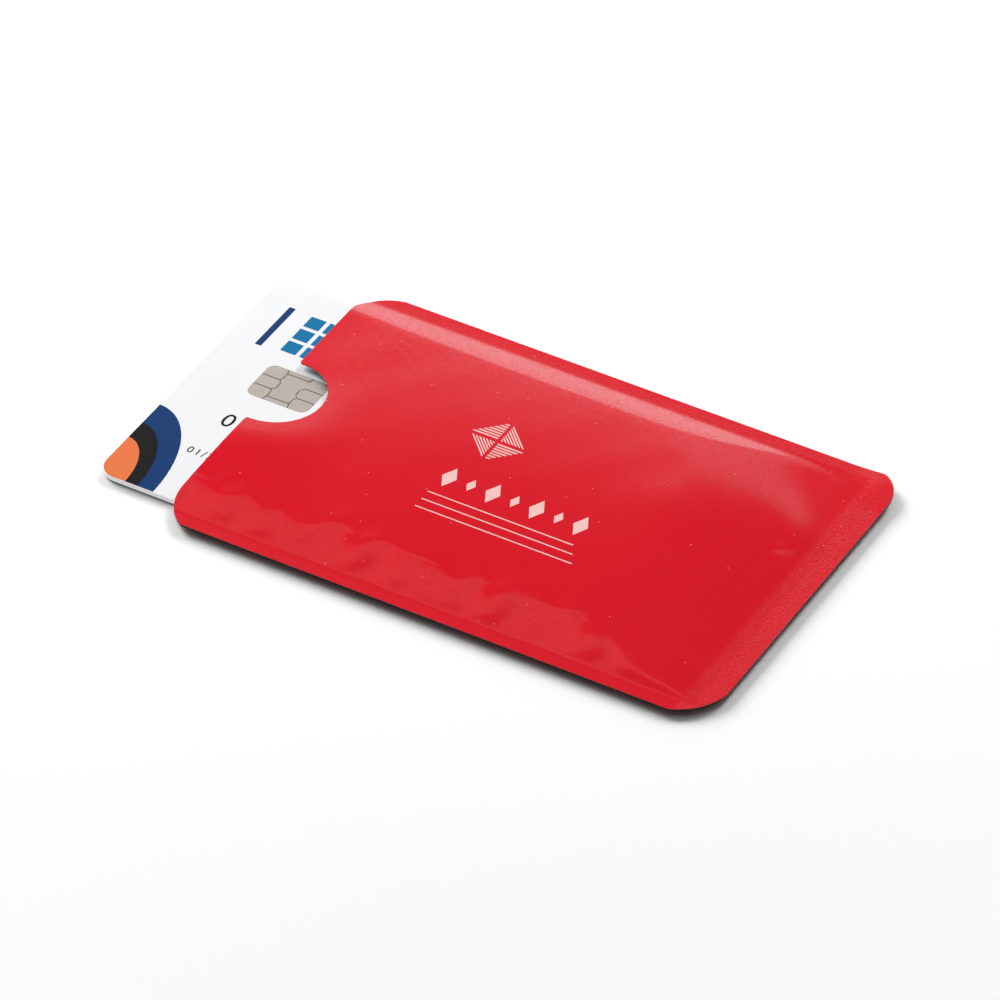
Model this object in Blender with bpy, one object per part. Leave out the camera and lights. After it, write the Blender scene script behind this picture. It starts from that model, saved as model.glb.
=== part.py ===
"""RFID blocking card holder: a heat-sealed foil sleeve with a contactless chip card in it.

Metres, +Z up. The sleeve lies on its back panel, and the origin is the middle of the face that
it rests on. +X runs from the open mouth to the closed end, and +Y to the long edge at the rear.
The sleeve is two laminated panels, each a printed film, an aluminium foil and a heat-seal liner,
welded along two sides and one end and then die-cut. The card slides in and out along X.
"""

import math

import bmesh
import bpy
import numpy as np

# Card blank, the ID-1 size of every bank card, and the sheets that it is laminated from
CARD_LENGTH = 0.08560
CARD_WIDTH = 0.05398
CARD_CORNER_RADIUS = 0.00318
OVERLAY_THICKNESS = 0.00005
SHEET_THICKNESS = 0.00019
INLAY_THICKNESS = 0.00024
CARD_BOND = 0.00001

# Magnetic stripe and signature panel, let into the back overlay
STRIPE_WIDTH = 0.0127
STRIPE_FROM_TOP = 0.0045
STRIPE_THICKNESS = 0.00002
PANEL_LENGTH = 0.0640
PANEL_WIDTH = 0.0085
PANEL_BELOW_STRIPE = 0.0030
RECESS_GAP = 0.00005

# Chip module: its place on the card, its contact plate and what hangs below it
CHIP_FROM_LEFT = 0.01506
CHIP_FROM_TOP = 0.02262
PLATE_LENGTH = 0.0108
PLATE_WIDTH = 0.0080
PLATE_CORNER_RADIUS = 0.0014
PLATE_THICKNESS = 0.000035
GROOVE_WIDTH = 0.00016
PAD_PITCH = 0.00254
STRIP_WIDTH = 0.00095
WAIST_HALF = 0.00175
CUSP_HALF = 0.00225
COLUMN_HALF = 0.00198
EDGE_HALF = 0.00255
CUSP_RUN = 0.00065
TAPE_THICKNESS = 0.00011
ADHESIVE_THICKNESS = 0.000015
MODULE_GAP = 0.00005
GLOB_LENGTH = 0.0052
GLOB_WIDTH = 0.0048
GLOB_CORNER_RADIUS = 0.0011
GLOB_DEPTH = 0.00026
GLOB_GAP = 0.00030
DIE_LENGTH = 0.0024
DIE_WIDTH = 0.0021
DIE_THICKNESS = 0.00014
DIE_GAP = 0.00002

# Antenna: a flat track let into the inlay, and the bridge that brings its outer end back
ANTENNA_TURNS = 3
ANTENNA_MARGIN = 0.0028
ANTENNA_CORNER_RADIUS = 0.0060
TRACK_WIDTH = 0.00050
TRACK_PITCH = 0.00095
TRACK_THICKNESS = 0.00003
TRACK_GAP = 0.00002
LEAD_SPACING = 0.0024
LEAD_OVERLAP = 0.0008

# Laminate of one sleeve panel, from the pocket outwards, and the weld between the panels
LINER_THICKNESS = 0.00005
FOIL_THICKNESS = 0.00003
FILM_THICKNESS = 0.00006
LAMINATE_BOND = 0.00001
WELD_THICKNESS = 0.00006
SIDE_SEAM = 0.0023
END_SEAM = 0.0026

# Pocket: the room round the card, and how the panels leave the weld
CARD_SIDE_CLEARANCE = 0.00030
CARD_END_CLEARANCE = 0.00040
CARD_TUCK = 0.00050
CARD_FLOAT = 0.00004
CARD_HEADROOM = 0.00008
BACK_SIDE_RISE = 0.0019
END_RISE = 0.0049

# How the front panel ramps up from each weld: how steep the ramp is, where it would level out,
# how softly it starts, and how far in it reaches the plateau over the card
REAR_RAMP_SLOPE_SHARE = 0.26
REAR_RAMP_CREST = 0.0100
REAR_RAMP_FILLET = 0.0009
REAR_RAMP_RUN = 0.0050
FRONT_RAMP_SLOPE_SHARE = 0.15
FRONT_RAMP_CREST = 0.0150
FRONT_RAMP_FILLET = 0.0004
FRONT_RAMP_RUN = 0.0078
END_RAMP_SLOPE_SHARE = 0.09
END_RAMP_CREST = 0.0140
END_RAMP_FILLET = 0.0015
RAMP_EASE_LENGTH = 0.0080
KINK_SOFTNESS = 0.00005
FLOOR_SOFTNESS = 0.00015

# The plateau: its height along the long edges, a dome along the middle, the sag beyond the card's
# end, and the fall towards the end's rear corner, along a slanting line by the card's corner
FRONT_CROWN = 0.00063
FRONT_DOME = 0.00040
DOME_LENGTH = 0.0260
SAG_SHARE = 0.90
SAG_LEAD = 0.0080
SAG_LENGTH = 0.0340
FALL_DEPTH = 0.00048
FALL_LEAD = 0.0125
FALL_LENGTH = 0.0200
FALL_ANGLE = math.radians(32.4)

# How the front panel waves along the mouth: it gapes at the front lip of the notch, lies close
# to the card at the rear lip, and both fade out inwards
GAPE_HEIGHT = 0.00045
PRESS_DEPTH = 0.00010
LIP_STANDOFF = 0.0035
WAVE_HALF = 0.0100
WAVE_LENGTH = 0.0200

# How the rear corner of the closed end curls up
CORNER_LIFT = 0.0006
LIFT_REACH = 0.0090

# Die-cut outline: how far each corner cut reaches along the length and along the width,
# and the thumb notch in the mouth
MOUTH_FRONT_REACH = (0.0042, 0.0068)
MOUTH_REAR_REACH = (0.0062, 0.0050)
END_FRONT_REACH = (0.0060, 0.0070)
END_REAR_REACH = (0.0036, 0.0050)
CORNER_BULGE_SHARE = 0.13
NOTCH_RADIUS = 0.0078
NOTCH_INSET = 0.0007
NOTCH_OFFSET = 0.0020
LIP_ROUNDING = 0.0005

# Where the card stands in the photographed position
CARD_REACH = 0.0138

# How far a cutter overruns what it cuts, and how finely round shapes are divided
OVERRUN = 0.0010
CORNER_STEPS = 6
NOTCH_STEPS = 20
SLOPE_STEPS = 4
SHOULDER_STEPS = 3
SAG_STEPS = 7
WAVE_STEPS = 6
WAVE_LINE_SHARES = (-1.0, -0.5, 0.0, 0.5, 1.0)
TURN_STEPS = 4

# Heights in the card, from its back face up
BACK_SHEET_BOTTOM = OVERLAY_THICKNESS + CARD_BOND
INLAY_BOTTOM = BACK_SHEET_BOTTOM + SHEET_THICKNESS + CARD_BOND
INLAY_TOP = INLAY_BOTTOM + INLAY_THICKNESS
FRONT_SHEET_BOTTOM = INLAY_TOP + CARD_BOND
FRONT_OVERLAY_BOTTOM = FRONT_SHEET_BOTTOM + SHEET_THICKNESS + CARD_BOND
CARD_THICKNESS = FRONT_OVERLAY_BOTTOM + OVERLAY_THICKNESS
PLATE_BOTTOM = CARD_THICKNESS - PLATE_THICKNESS
TAPE_TOP = PLATE_BOTTOM - CARD_BOND
TAPE_BOTTOM = TAPE_TOP - TAPE_THICKNESS
POCKET_FLOOR = TAPE_BOTTOM - ADHESIVE_THICKNESS
GLOB_TOP = TAPE_BOTTOM - CARD_BOND
GLOB_BOTTOM = GLOB_TOP - GLOB_DEPTH

# Sleeve outline and heights, worked out from the card that it holds
PANEL_THICKNESS = LINER_THICKNESS + FOIL_THICKNESS + FILM_THICKNESS + 2 * LAMINATE_BOND
SEAL_HALF = WELD_THICKNESS / 2 + LAMINATE_BOND
CARD_BOTTOM = PANEL_THICKNESS + CARD_FLOAT
SEAM_HEIGHT = CARD_BOTTOM + CARD_THICKNESS + CARD_HEADROOM - SEAL_HALF
BACK_DEPTH = SEAM_HEIGHT - SEAL_HALF - PANEL_THICKNESS
POCKET_HALF_WIDTH = CARD_WIDTH / 2 + CARD_SIDE_CLEARANCE + BACK_SIDE_RISE
HALF_WIDTH = POCKET_HALF_WIDTH + SIDE_SEAM
HALF_LENGTH = (CARD_TUCK + CARD_LENGTH + CARD_END_CLEARANCE + END_RISE + END_SEAM) / 2
POCKET_END = HALF_LENGTH - END_SEAM
GAPE_Y = NOTCH_OFFSET - NOTCH_RADIUS - LIP_STANDOFF
PRESS_Y = NOTCH_OFFSET + NOTCH_RADIUS + LIP_STANDOFF

# Card places in the card's own frame, whose origin is the middle of its back face
CHIP_X = CHIP_FROM_LEFT - CARD_LENGTH / 2
CHIP_Y = CARD_WIDTH / 2 - CHIP_FROM_TOP
STRIPE_Y = CARD_WIDTH / 2 - STRIPE_FROM_TOP - STRIPE_WIDTH / 2
PANEL_Y = STRIPE_Y - STRIPE_WIDTH / 2 - PANEL_BELOW_STRIPE - PANEL_WIDTH / 2
CARD_X = CARD_LENGTH / 2 - HALF_LENGTH - CARD_REACH
CARD_END = CARD_X + CARD_LENGTH / 2
SAG_START = CARD_END - SAG_LEAD


def clear_scene():
    for obj in list(bpy.data.objects):
        bpy.data.objects.remove(obj)


def material(name, colour, roughness, metallic=0.0):
    """A plain Principled material of this colour."""
    made = bpy.data.materials.new(name)
    made.use_nodes = True
    shader = made.node_tree.nodes["Principled BSDF"]
    shader.inputs["Base Color"].default_value = (*colour, 1.0)
    shader.inputs["Roughness"].default_value = roughness
    shader.inputs["Metallic"].default_value = metallic
    made.diffuse_color = (*colour, 1.0)
    return made


def frame_empty(name, location):
    """An empty that carries the pieces of one moving body."""
    empty = bpy.data.objects.new(name, None)
    empty.location = location
    bpy.context.collection.objects.link(empty)
    return empty


def add_object(name, bm, parent, finish=None):
    """Turns the bmesh into an object; one with no finish is a cutter, which is left out."""
    bmesh.ops.recalc_face_normals(bm, faces=bm.faces)
    mesh = bpy.data.meshes.new(name)
    bm.to_mesh(mesh)
    bm.free()
    obj = bpy.data.objects.new(name, mesh)
    obj.parent = parent
    bpy.context.collection.objects.link(obj)
    if finish:
        mesh.materials.append(finish)
    else:
        obj.hide_render = True
        obj.display_type = "WIRE"
    return obj


def boolean(obj, cutter, operation="DIFFERENCE"):
    step = obj.modifiers.new(cutter.name, "BOOLEAN")
    step.object = cutter
    step.operation = operation


def prism(outline, bottom, top):
    """A closed prism on this outline of (x, y) points."""
    bm = bmesh.new()
    base = bm.faces.new([bm.verts.new((x, y, bottom)) for x, y in outline])
    grown = bmesh.ops.extrude_face_region(bm, geom=[base])
    moved = [part for part in grown["geom"] if isinstance(part, bmesh.types.BMVert)]
    bmesh.ops.translate(bm, vec=(0, 0, top - bottom), verts=moved)
    return bm


def arc(centre, radius, start, end, steps):
    """Points on a circle from one angle to another, both ends included."""
    angles = np.linspace(start, end, steps + 1)
    return [(centre[0] + radius * math.cos(a), centre[1] + radius * math.sin(a)) for a in angles]


def bulged_corner(first, last, steps):
    """Points from first to last on the arc that bulges to the left by CORNER_BULGE_SHARE."""
    first = np.array(first)
    last = np.array(last)
    chord = last - first
    across = np.array((-chord[1], chord[0]))
    opening = 4 * math.atan(2 * CORNER_BULGE_SHARE)
    centre = (first + last) / 2 - across / (2 * math.tan(opening / 2))
    spoke = first - centre
    turned = []
    for angle in np.linspace(0, -opening, steps + 1):
        c, s = math.cos(angle), math.sin(angle)
        turned.append(tuple(centre + (c * spoke[0] - s * spoke[1], s * spoke[0] + c * spoke[1])))
    return turned


def rounded_rectangle(length, width, radius, x=0.0, y=0.0, steps=CORNER_STEPS):
    """The outline of a rectangle with round corners about (x, y), anticlockwise."""
    points = []
    for quarter, (along, across) in enumerate(((1, 1), (-1, 1), (-1, -1), (1, -1))):
        centre = (x + along * (length / 2 - radius), y + across * (width / 2 - radius))
        start = quarter * math.pi / 2
        points += arc(centre, radius, start, start + math.pi / 2, steps)
    return points


def rectangle(x_from, x_to, y_from, y_to):
    return [(x_from, y_from), (x_to, y_from), (x_to, y_to), (x_from, y_to)]


def smooth_rise(distance, run):
    """0 at the weld, 1 from run onwards, with no kink at either end."""
    share = np.clip(distance / run, 0, 1)
    return share * share * (3 - 2 * share)


def mouth_wave(x, y):
    """The front panel's wave along the mouth: two smooth humps across, fading with depth."""
    fade = smooth_rise(WAVE_LENGTH - HALF_LENGTH - x, WAVE_LENGTH)
    gape = GAPE_HEIGHT * np.exp(-(((y - GAPE_Y) / WAVE_HALF) ** 2))
    press = PRESS_DEPTH * np.exp(-(((y - PRESS_Y) / WAVE_HALF) ** 2))
    return fade * (gape - press)


def ramp(distance, steepness, crest, fillet):
    """Height of the panel at a distance in from a weld: it starts softly, steepens and then eases."""
    inside = np.maximum(distance, 0)
    eased = np.minimum(inside, RAMP_EASE_LENGTH) ** 2 / (2 * crest)
    return steepness * (np.hypot(inside, fillet) - fillet - eased)


def lower_of(first, second):
    """The lower of two heights, with the bend between them rounded."""
    return (first + second - np.hypot(first - second, KINK_SOFTNESS)) / 2


def plateau(x, y):
    """Height of the front panel over the pocket: crowned and domed over the card, lower beyond it."""
    across = 1 - (y / POCKET_HALF_WIDTH) ** 2
    dome = FRONT_DOME * across * smooth_rise(x + HALF_LENGTH, DOME_LENGTH)
    sag = 1 - SAG_SHARE * smooth_rise(x - SAG_START, SAG_LENGTH)
    along = (x - CARD_END) * math.sin(FALL_ANGLE)
    beyond = along + (y - CARD_WIDTH / 2) * math.cos(FALL_ANGLE)
    fall = FALL_DEPTH * smooth_rise(beyond + FALL_LEAD, FALL_LENGTH)
    height = (FRONT_CROWN + dome) * sag - fall + mouth_wave(x, y)
    return (height + np.hypot(height, FLOOR_SOFTNESS)) / 2


def front_rise(x, y):
    """How far the front panel stands off the weld: the lowest of the three ramps and the plateau."""
    side = POCKET_HALF_WIDTH - np.abs(y)
    rear = ramp(side, REAR_RAMP_SLOPE_SHARE, REAR_RAMP_CREST, REAR_RAMP_FILLET)
    front = ramp(side, FRONT_RAMP_SLOPE_SHARE, FRONT_RAMP_CREST, FRONT_RAMP_FILLET)
    end = ramp(POCKET_END - x, END_RAMP_SLOPE_SHARE, END_RAMP_CREST, END_RAMP_FILLET)
    height = lower_of(plateau(x, y), np.where(y > 0, rear, front))
    return np.maximum(lower_of(height, end), 0)


def back_rise(x, y):
    """How far the back panel stands off the weld: flat on the table wherever the card can be."""
    side = smooth_rise(POCKET_HALF_WIDTH - np.abs(y), BACK_SIDE_RISE)
    end = smooth_rise(POCKET_END - x, END_RISE)
    return BACK_DEPTH * side * end


def corner_lift(x, y):
    """How far all layers curl up together at the rear corner of the closed end."""
    distance = np.hypot(HALF_LENGTH - x, HALF_WIDTH - y)
    return CORNER_LIFT * smooth_rise(LIFT_REACH - distance, LIFT_REACH)


def length_lines():
    """Places along X where the panels bend, close together on the slopes."""
    knee = POCKET_END - END_RISE
    slope = np.linspace(knee, POCKET_END, SLOPE_STEPS + 1)
    sag = np.linspace(SAG_START, knee, SAG_STEPS)
    seam = [POCKET_END + END_SEAM / 2, HALF_LENGTH, HALF_LENGTH + OVERRUN]
    flat = [-HALF_LENGTH - OVERRUN, DOME_LENGTH - HALF_LENGTH, 0]
    return [*flat, *sag, HALF_LENGTH - LIFT_REACH, *slope, *seam]


def half_width_lines(run):
    """Distances from the middle where either panel bends, for a front panel that rises over this run."""
    flat = POCKET_HALF_WIDTH - run
    knee = POCKET_HALF_WIDTH - BACK_SIDE_RISE
    shoulder = np.linspace(flat, knee, SHOULDER_STEPS + 1)
    slope = np.linspace(knee, POCKET_HALF_WIDTH, SLOPE_STEPS + 1)
    seam = [POCKET_HALF_WIDTH + SIDE_SEAM / 2, HALF_WIDTH, HALF_WIDTH + OVERRUN]
    return np.array([flat / 2, *shoulder[:-1], *slope, *seam])


def width_lines():
    """Places along Y where either panel bends; both panels use them, so that their facets nest."""
    rear = half_width_lines(REAR_RAMP_RUN)
    front = -half_width_lines(FRONT_RAMP_RUN)
    return [*front, 0, HALF_WIDTH - LIFT_REACH, *rear]


def wave_lines():
    """Further places along X and Y where the front panel waves at the mouth."""
    along = WAVE_LENGTH * np.linspace(0, 1, WAVE_STEPS) - HALF_LENGTH
    shares = np.array(WAVE_LINE_SHARES)
    return along, [*(GAPE_Y + WAVE_HALF * shares), *(PRESS_Y + WAVE_HALF * shares)]


def layer_sheet(grid_x, grid_y, low, high):
    """A closed sheet over the grid, between two arrays of heights."""
    bm = bmesh.new()
    rows, columns = grid_x.shape
    for heights in (low, high):
        points = np.stack((grid_x, grid_y, heights), axis=2).tolist()
        verts = [[bm.verts.new(point) for point in row] for row in points]
        for i in range(rows - 1):
            for j in range(columns - 1):
                corners = [verts[i][j], verts[i + 1][j], verts[i + 1][j + 1], verts[i][j + 1]]
                if grid_y[i, j] + grid_y[i, j + 1] < 0:
                    corners = corners[1:] + corners[:1]
                bm.faces.new(corners[:3])
                bm.faces.new([corners[0], *corners[2:]])
    bmesh.ops.bridge_loops(bm, edges=[edge for edge in bm.edges if edge.is_boundary])
    return bm


def die_outline():
    """The outline that all layers are cut to, clockwise from the rear end of the mouth."""
    x, y = HALF_LENGTH, HALF_WIDTH
    corner = MOUTH_REAR_REACH
    points = bulged_corner((-x, y - corner[1]), (-x + corner[0], y), CORNER_STEPS)
    corner = END_REAR_REACH
    points += bulged_corner((x - corner[0], y), (x, y - corner[1]), CORNER_STEPS)
    corner = END_FRONT_REACH
    points += bulged_corner((x, -y + corner[1]), (x - corner[0], -y), CORNER_STEPS)
    corner = MOUTH_FRONT_REACH
    points += bulged_corner((-x + corner[0], -y), (-x, -y + corner[1]), CORNER_STEPS)
    reach = math.acos(-NOTCH_INSET / NOTCH_RADIUS)
    points += arc((-x + NOTCH_INSET, NOTCH_OFFSET), NOTCH_RADIUS, -reach, reach, NOTCH_STEPS)
    return points


def die_cutter(frame):
    """The die: a prism through all layers, with the two lips of the notch rounded."""
    height = 2 * (SEAM_HEIGHT + FRONT_CROWN + FRONT_DOME + GAPE_HEIGHT)
    outline = die_outline()
    bm = prism(outline, -height, height)
    lips = outline[-1], outline[-1 - NOTCH_STEPS]
    bm.edges.ensure_lookup_table()
    sharp = []
    for edge in bm.edges:
        first, last = (vert.co for vert in edge.verts)
        upright = abs(first.z - last.z) > height
        at_lip = any(math.hypot(first.x - x, first.y - y) < LIP_ROUNDING / 2 for x, y in lips)
        if upright and at_lip:
            sharp.append(edge)
    bmesh.ops.bevel(bm, geom=sharp, offset=LIP_ROUNDING, segments=3, profile=0.5, affect="EDGES")
    return add_object("die_cutter", bm, frame)


def build_panel(name, rise, facing, lines, frame, die, finishes):
    """The liner, foil and film of one panel, nested with the bond line between them."""
    grid_x, grid_y = np.meshgrid(*lines, indexing="ij")
    off_weld = SEAL_HALF + rise(grid_x, grid_y)
    lift = corner_lift(grid_x, grid_y)
    near = 0.0
    layers = ("liner", LINER_THICKNESS), ("foil", FOIL_THICKNESS), ("film", FILM_THICKNESS)
    for layer, thickness in layers:
        inner = lift + facing * (off_weld + near)
        outer = lift + facing * (off_weld + near + thickness)
        sheet = layer_sheet(grid_x, grid_y, inner, outer)
        obj = add_object(f"{name}_{layer}", sheet, frame, finishes[layer])
        boolean(obj, die, "INTERSECT")
        near += thickness + LAMINATE_BOND


def build_welds(frame, die, finish):
    """The fused bead between the liners, along both sides and across the closed end."""
    half = WELD_THICKNESS / 2
    stop = POCKET_END - LAMINATE_BOND
    xs = np.unique(length_lines())
    ys = np.unique(width_lines())
    along = np.append(xs[xs < stop], stop)
    strips = {
        "rear_side_weld": (along, ys[ys >= POCKET_HALF_WIDTH]),
        "front_side_weld": (along, ys[ys <= -POCKET_HALF_WIDTH]),
        "end_weld": (xs[xs >= POCKET_END], ys),
    }
    for name, lines in strips.items():
        grid_x, grid_y = np.meshgrid(*lines, indexing="ij")
        lift = corner_lift(grid_x, grid_y)
        strip = add_object(name, layer_sheet(grid_x, grid_y, lift - half, lift + half), frame, finish)
        boolean(strip, die, "INTERSECT")


def build_card_sheets(frame, finishes):
    """The five sheets of the card's laminate, each at the full size of the card."""
    outline = rounded_rectangle(CARD_LENGTH, CARD_WIDTH, CARD_CORNER_RADIUS)
    layers = {
        "back_overlay": (0, OVERLAY_THICKNESS, "clear"),
        "back_sheet": (BACK_SHEET_BOTTOM, SHEET_THICKNESS, "white"),
        "inlay": (INLAY_BOTTOM, INLAY_THICKNESS, "inlay"),
        "front_sheet": (FRONT_SHEET_BOTTOM, SHEET_THICKNESS, "white"),
        "front_overlay": (FRONT_OVERLAY_BOTTOM, OVERLAY_THICKNESS, "clear"),
    }
    sheets = {}
    for name, (bottom, thickness, finish) in layers.items():
        plate = prism(outline, bottom, bottom + thickness)
        sheets[name] = add_object(f"card_{name}", plate, frame, finishes[finish])
    return sheets


def build_back_strips(frame, overlay, finishes):
    """The magnetic stripe and the signature panel, flush in recesses of the back overlay."""
    strips = {
        "magnetic_stripe": (CARD_LENGTH, STRIPE_WIDTH, STRIPE_Y, finishes["stripe"]),
        "signature_panel": (PANEL_LENGTH, PANEL_WIDTH, PANEL_Y, finishes["paper"]),
    }
    for name, (length, width, y, finish) in strips.items():
        half, across = length / 2, width / 2
        outline = rectangle(-half, half, y - across, y + across)
        add_object(name, prism(outline, 0, STRIPE_THICKNESS), frame, finish)
        half += RECESS_GAP
        across += RECESS_GAP
        recess = prism(
            rectangle(-half, half, y - across, y + across),
            -OVERRUN,
            STRIPE_THICKNESS + CARD_BOND,
        )
        boolean(overlay, add_object(f"{name}_recess", recess, frame))


def groove_half(v):
    """Half the gap between the two columns of pads, at height v above the plate's middle."""
    cusp = PAD_PITCH / 2
    places = [cusp - CUSP_RUN, cusp, cusp + CUSP_RUN, PLATE_WIDTH / 2 - STRIP_WIDTH, PLATE_WIDTH / 2]
    halves = [WAIST_HALF, CUSP_HALF, COLUMN_HALF, COLUMN_HALF, EDGE_HALF]
    return float(np.interp(abs(v), places, halves))


def column_edge(side, v_from, v_to, inset):
    """Points down the groove beside a column, from v_from to v_to, moved over by inset."""
    cusp = PAD_PITCH / 2
    bends = [cusp - CUSP_RUN, cusp, cusp + CUSP_RUN, PLATE_WIDTH / 2 - STRIP_WIDTH]
    levels = sorted({v_from, v_to, *[v for b in bends for v in (-b, b) if v_from < v < v_to]})
    return [(side * (groove_half(v) + inset), v) for v in levels]


def contact_cells():
    """The outline of each contact plate in (u, v), before the plate's round corners trim it."""
    half = GROOVE_WIDTH / 2
    pad = PAD_PITCH / 2
    u_end = PLATE_LENGTH / 2 + OVERRUN
    v_end = PLATE_WIDTH / 2 + OVERRUN
    strip = PLATE_WIDTH / 2 - STRIP_WIDTH
    rows = {"rear": (pad + half, v_end), "middle": (-pad + half, pad - half), "front": (-v_end, -pad - half)}
    cells = {}
    for row, name in (("rear", "supply"), ("middle", "reset"), ("front", "clock")):
        low, high = rows[row]
        cells[name] = [(-u_end, high), (-u_end, low), *column_edge(-1, low, high, half)]
    for row, name in (("middle", "spare"), ("front", "data")):
        low, high = rows[row]
        cells[name] = [(u_end, high), (u_end, low), *column_edge(1, low, high, half)]
    low, high = -strip + half, strip - half
    left = column_edge(-1, low, high, -half)
    right = column_edge(1, low, pad + half, -half)
    tick = (groove_half(strip) + half, high)
    cells["ground"] = [*left[::-1], *right, (u_end, pad + half), (u_end, v_end)]
    cells["ground"] += [(groove_half(v_end) + half, v_end), tick]
    for name, sign in (("rear_strip", 1), ("front_strip", -1)):
        inner, outer = sign * (strip + half), sign * v_end
        near, far = groove_half(strip) - half, groove_half(v_end) - half
        cells[name] = [(-near, inner), (near, inner), (far, outer), (-far, outer)]
    return cells


def build_contacts(frame, finish):
    """The etched contact plates, each trimmed by the round corners of the module."""
    outline = rounded_rectangle(PLATE_LENGTH, PLATE_WIDTH, PLATE_CORNER_RADIUS, CHIP_X, CHIP_Y)
    trim = add_object("contact_trim", prism(outline, 0, CARD_THICKNESS + OVERRUN), frame)
    for name, cell in contact_cells().items():
        placed = [(CHIP_X + u, CHIP_Y + v) for u, v in cell]
        plate = add_object(f"contact_{name}", prism(placed, PLATE_BOTTOM, CARD_THICKNESS), frame, finish)
        boolean(plate, trim, "INTERSECT")


def build_module(frame, sheets, finishes):
    """The tape under the contacts, the die, and the resin drop that covers it."""
    outline = rounded_rectangle(PLATE_LENGTH, PLATE_WIDTH, PLATE_CORNER_RADIUS, CHIP_X, CHIP_Y)
    add_object("chip_tape", prism(outline, TAPE_BOTTOM, TAPE_TOP), frame, finishes["tape"])
    room = 2 * MODULE_GAP
    outline = rounded_rectangle(
        PLATE_LENGTH + room, PLATE_WIDTH + room, PLATE_CORNER_RADIUS + MODULE_GAP, CHIP_X, CHIP_Y
    )
    pocket = add_object("module_pocket", prism(outline, POCKET_FLOOR, CARD_THICKNESS + OVERRUN), frame)
    boolean(sheets["front_overlay"], pocket)
    boolean(sheets["front_sheet"], pocket)
    room = 2 * GLOB_GAP
    outline = rounded_rectangle(
        GLOB_LENGTH + room, GLOB_WIDTH + room, GLOB_CORNER_RADIUS + GLOB_GAP, CHIP_X, CHIP_Y
    )
    well = add_object("glob_well", prism(outline, BACK_SHEET_BOTTOM + SHEET_THICKNESS, TAPE_TOP), frame)
    boolean(sheets["front_sheet"], well)
    boolean(sheets["inlay"], well)
    build_glob(frame, finishes)


def build_glob(frame, finishes):
    """The resin drop, drawn in towards its foot, and the die that it seals against the tape."""
    outline = rounded_rectangle(GLOB_LENGTH, GLOB_WIDTH, GLOB_CORNER_RADIUS, CHIP_X, CHIP_Y)
    bm = prism(outline, GLOB_BOTTOM, GLOB_TOP)
    foot = [vert for vert in bm.verts if vert.co.z < (GLOB_BOTTOM + GLOB_TOP) / 2]
    shrink = 1 - GLOB_DEPTH / GLOB_WIDTH
    for vert in foot:
        vert.co.x = CHIP_X + shrink * (vert.co.x - CHIP_X)
        vert.co.y = CHIP_Y + shrink * (vert.co.y - CHIP_Y)
    glob = add_object("chip_encapsulant", bm, frame, finishes["resin"])
    half, across = DIE_LENGTH / 2, DIE_WIDTH / 2
    outline = rectangle(CHIP_X - half, CHIP_X + half, CHIP_Y - across, CHIP_Y + across)
    add_object("chip_die", prism(outline, GLOB_TOP - DIE_THICKNESS, GLOB_TOP), frame, finishes["silicon"])
    half += DIE_GAP
    across += DIE_GAP
    outline = rectangle(CHIP_X - half, CHIP_X + half, CHIP_Y - across, CHIP_Y + across)
    seat = add_object("die_seat", prism(outline, GLOB_TOP - DIE_THICKNESS - DIE_GAP, TAPE_TOP), frame)
    boolean(glob, seat)


def spiral_path():
    """The antenna's middle line: a round-cornered rectangle that moves inwards at a steady rate.

    Each point is moved along the inward normal by the pitch times the turns made so far.
    It starts and ends on the left side, level with the chip, and then runs to the module.
    """
    length = CARD_LENGTH - 2 * ANTENNA_MARGIN
    width = CARD_WIDTH - 2 * ANTENNA_MARGIN
    radius = ANTENNA_CORNER_RADIUS
    start = np.array((-length / 2, CHIP_Y - LEAD_SPACING / 2))
    points = [start]
    normals = [np.array((1.0, 0.0))]
    for along, across, first in ((-1, -1, math.pi), (1, -1, 1.5 * math.pi), (1, 1, 0), (-1, 1, math.pi / 2)):
        centre = np.array((along * (length / 2 - radius), across * (width / 2 - radius)))
        for angle in np.linspace(first, first + math.pi / 2, TURN_STEPS):
            outward = np.array((math.cos(angle), math.sin(angle)))
            points.append(centre + radius * outward)
            normals.append(-outward)
    points = np.array(points)
    normals = np.array(normals)
    steps = np.linalg.norm(np.diff(points, axis=0, append=points[:1]), axis=1)
    travelled = np.concatenate(([0], np.cumsum(steps)[:-1])) / steps.sum()
    path = [
        points + normals * (TRACK_PITCH * (turn + travelled))[:, None] for turn in range(ANTENNA_TURNS)
    ]
    end = start + (TRACK_PITCH * ANTENNA_TURNS, 0)
    lead = (CHIP_X - PLATE_LENGTH / 2 + LEAD_OVERLAP, end[1])
    return np.concatenate([*path, [end, lead]])


def ribbon(path, width, bottom, top):
    """A flat track of this width along the path, its corners mitred."""
    along = np.diff(path, axis=0)
    along /= np.linalg.norm(along, axis=1)[:, None]
    before = np.concatenate((along[:1], along))
    after = np.concatenate((along, along[-1:]))
    middle = before + after
    middle /= np.linalg.norm(middle, axis=1)[:, None]
    stretch = 1 / (middle * after).sum(axis=1)
    offset = np.stack((-middle[:, 1], middle[:, 0]), axis=1) * (stretch * width / 2)[:, None]
    bm = bmesh.new()
    rings = []
    for point, aside in zip(path, offset):
        left, right = point + aside, point - aside
        corners = (*left, bottom), (*right, bottom), (*right, top), (*left, top)
        rings.append([bm.verts.new(corner) for corner in corners])
    for ring, following in zip(rings, rings[1:]):
        for k in range(4):
            bm.faces.new((ring[k - 1], ring[k], following[k], following[k - 1]))
    bm.faces.new(rings[0])
    bm.faces.new(rings[-1][::-1])
    return bm


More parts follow.
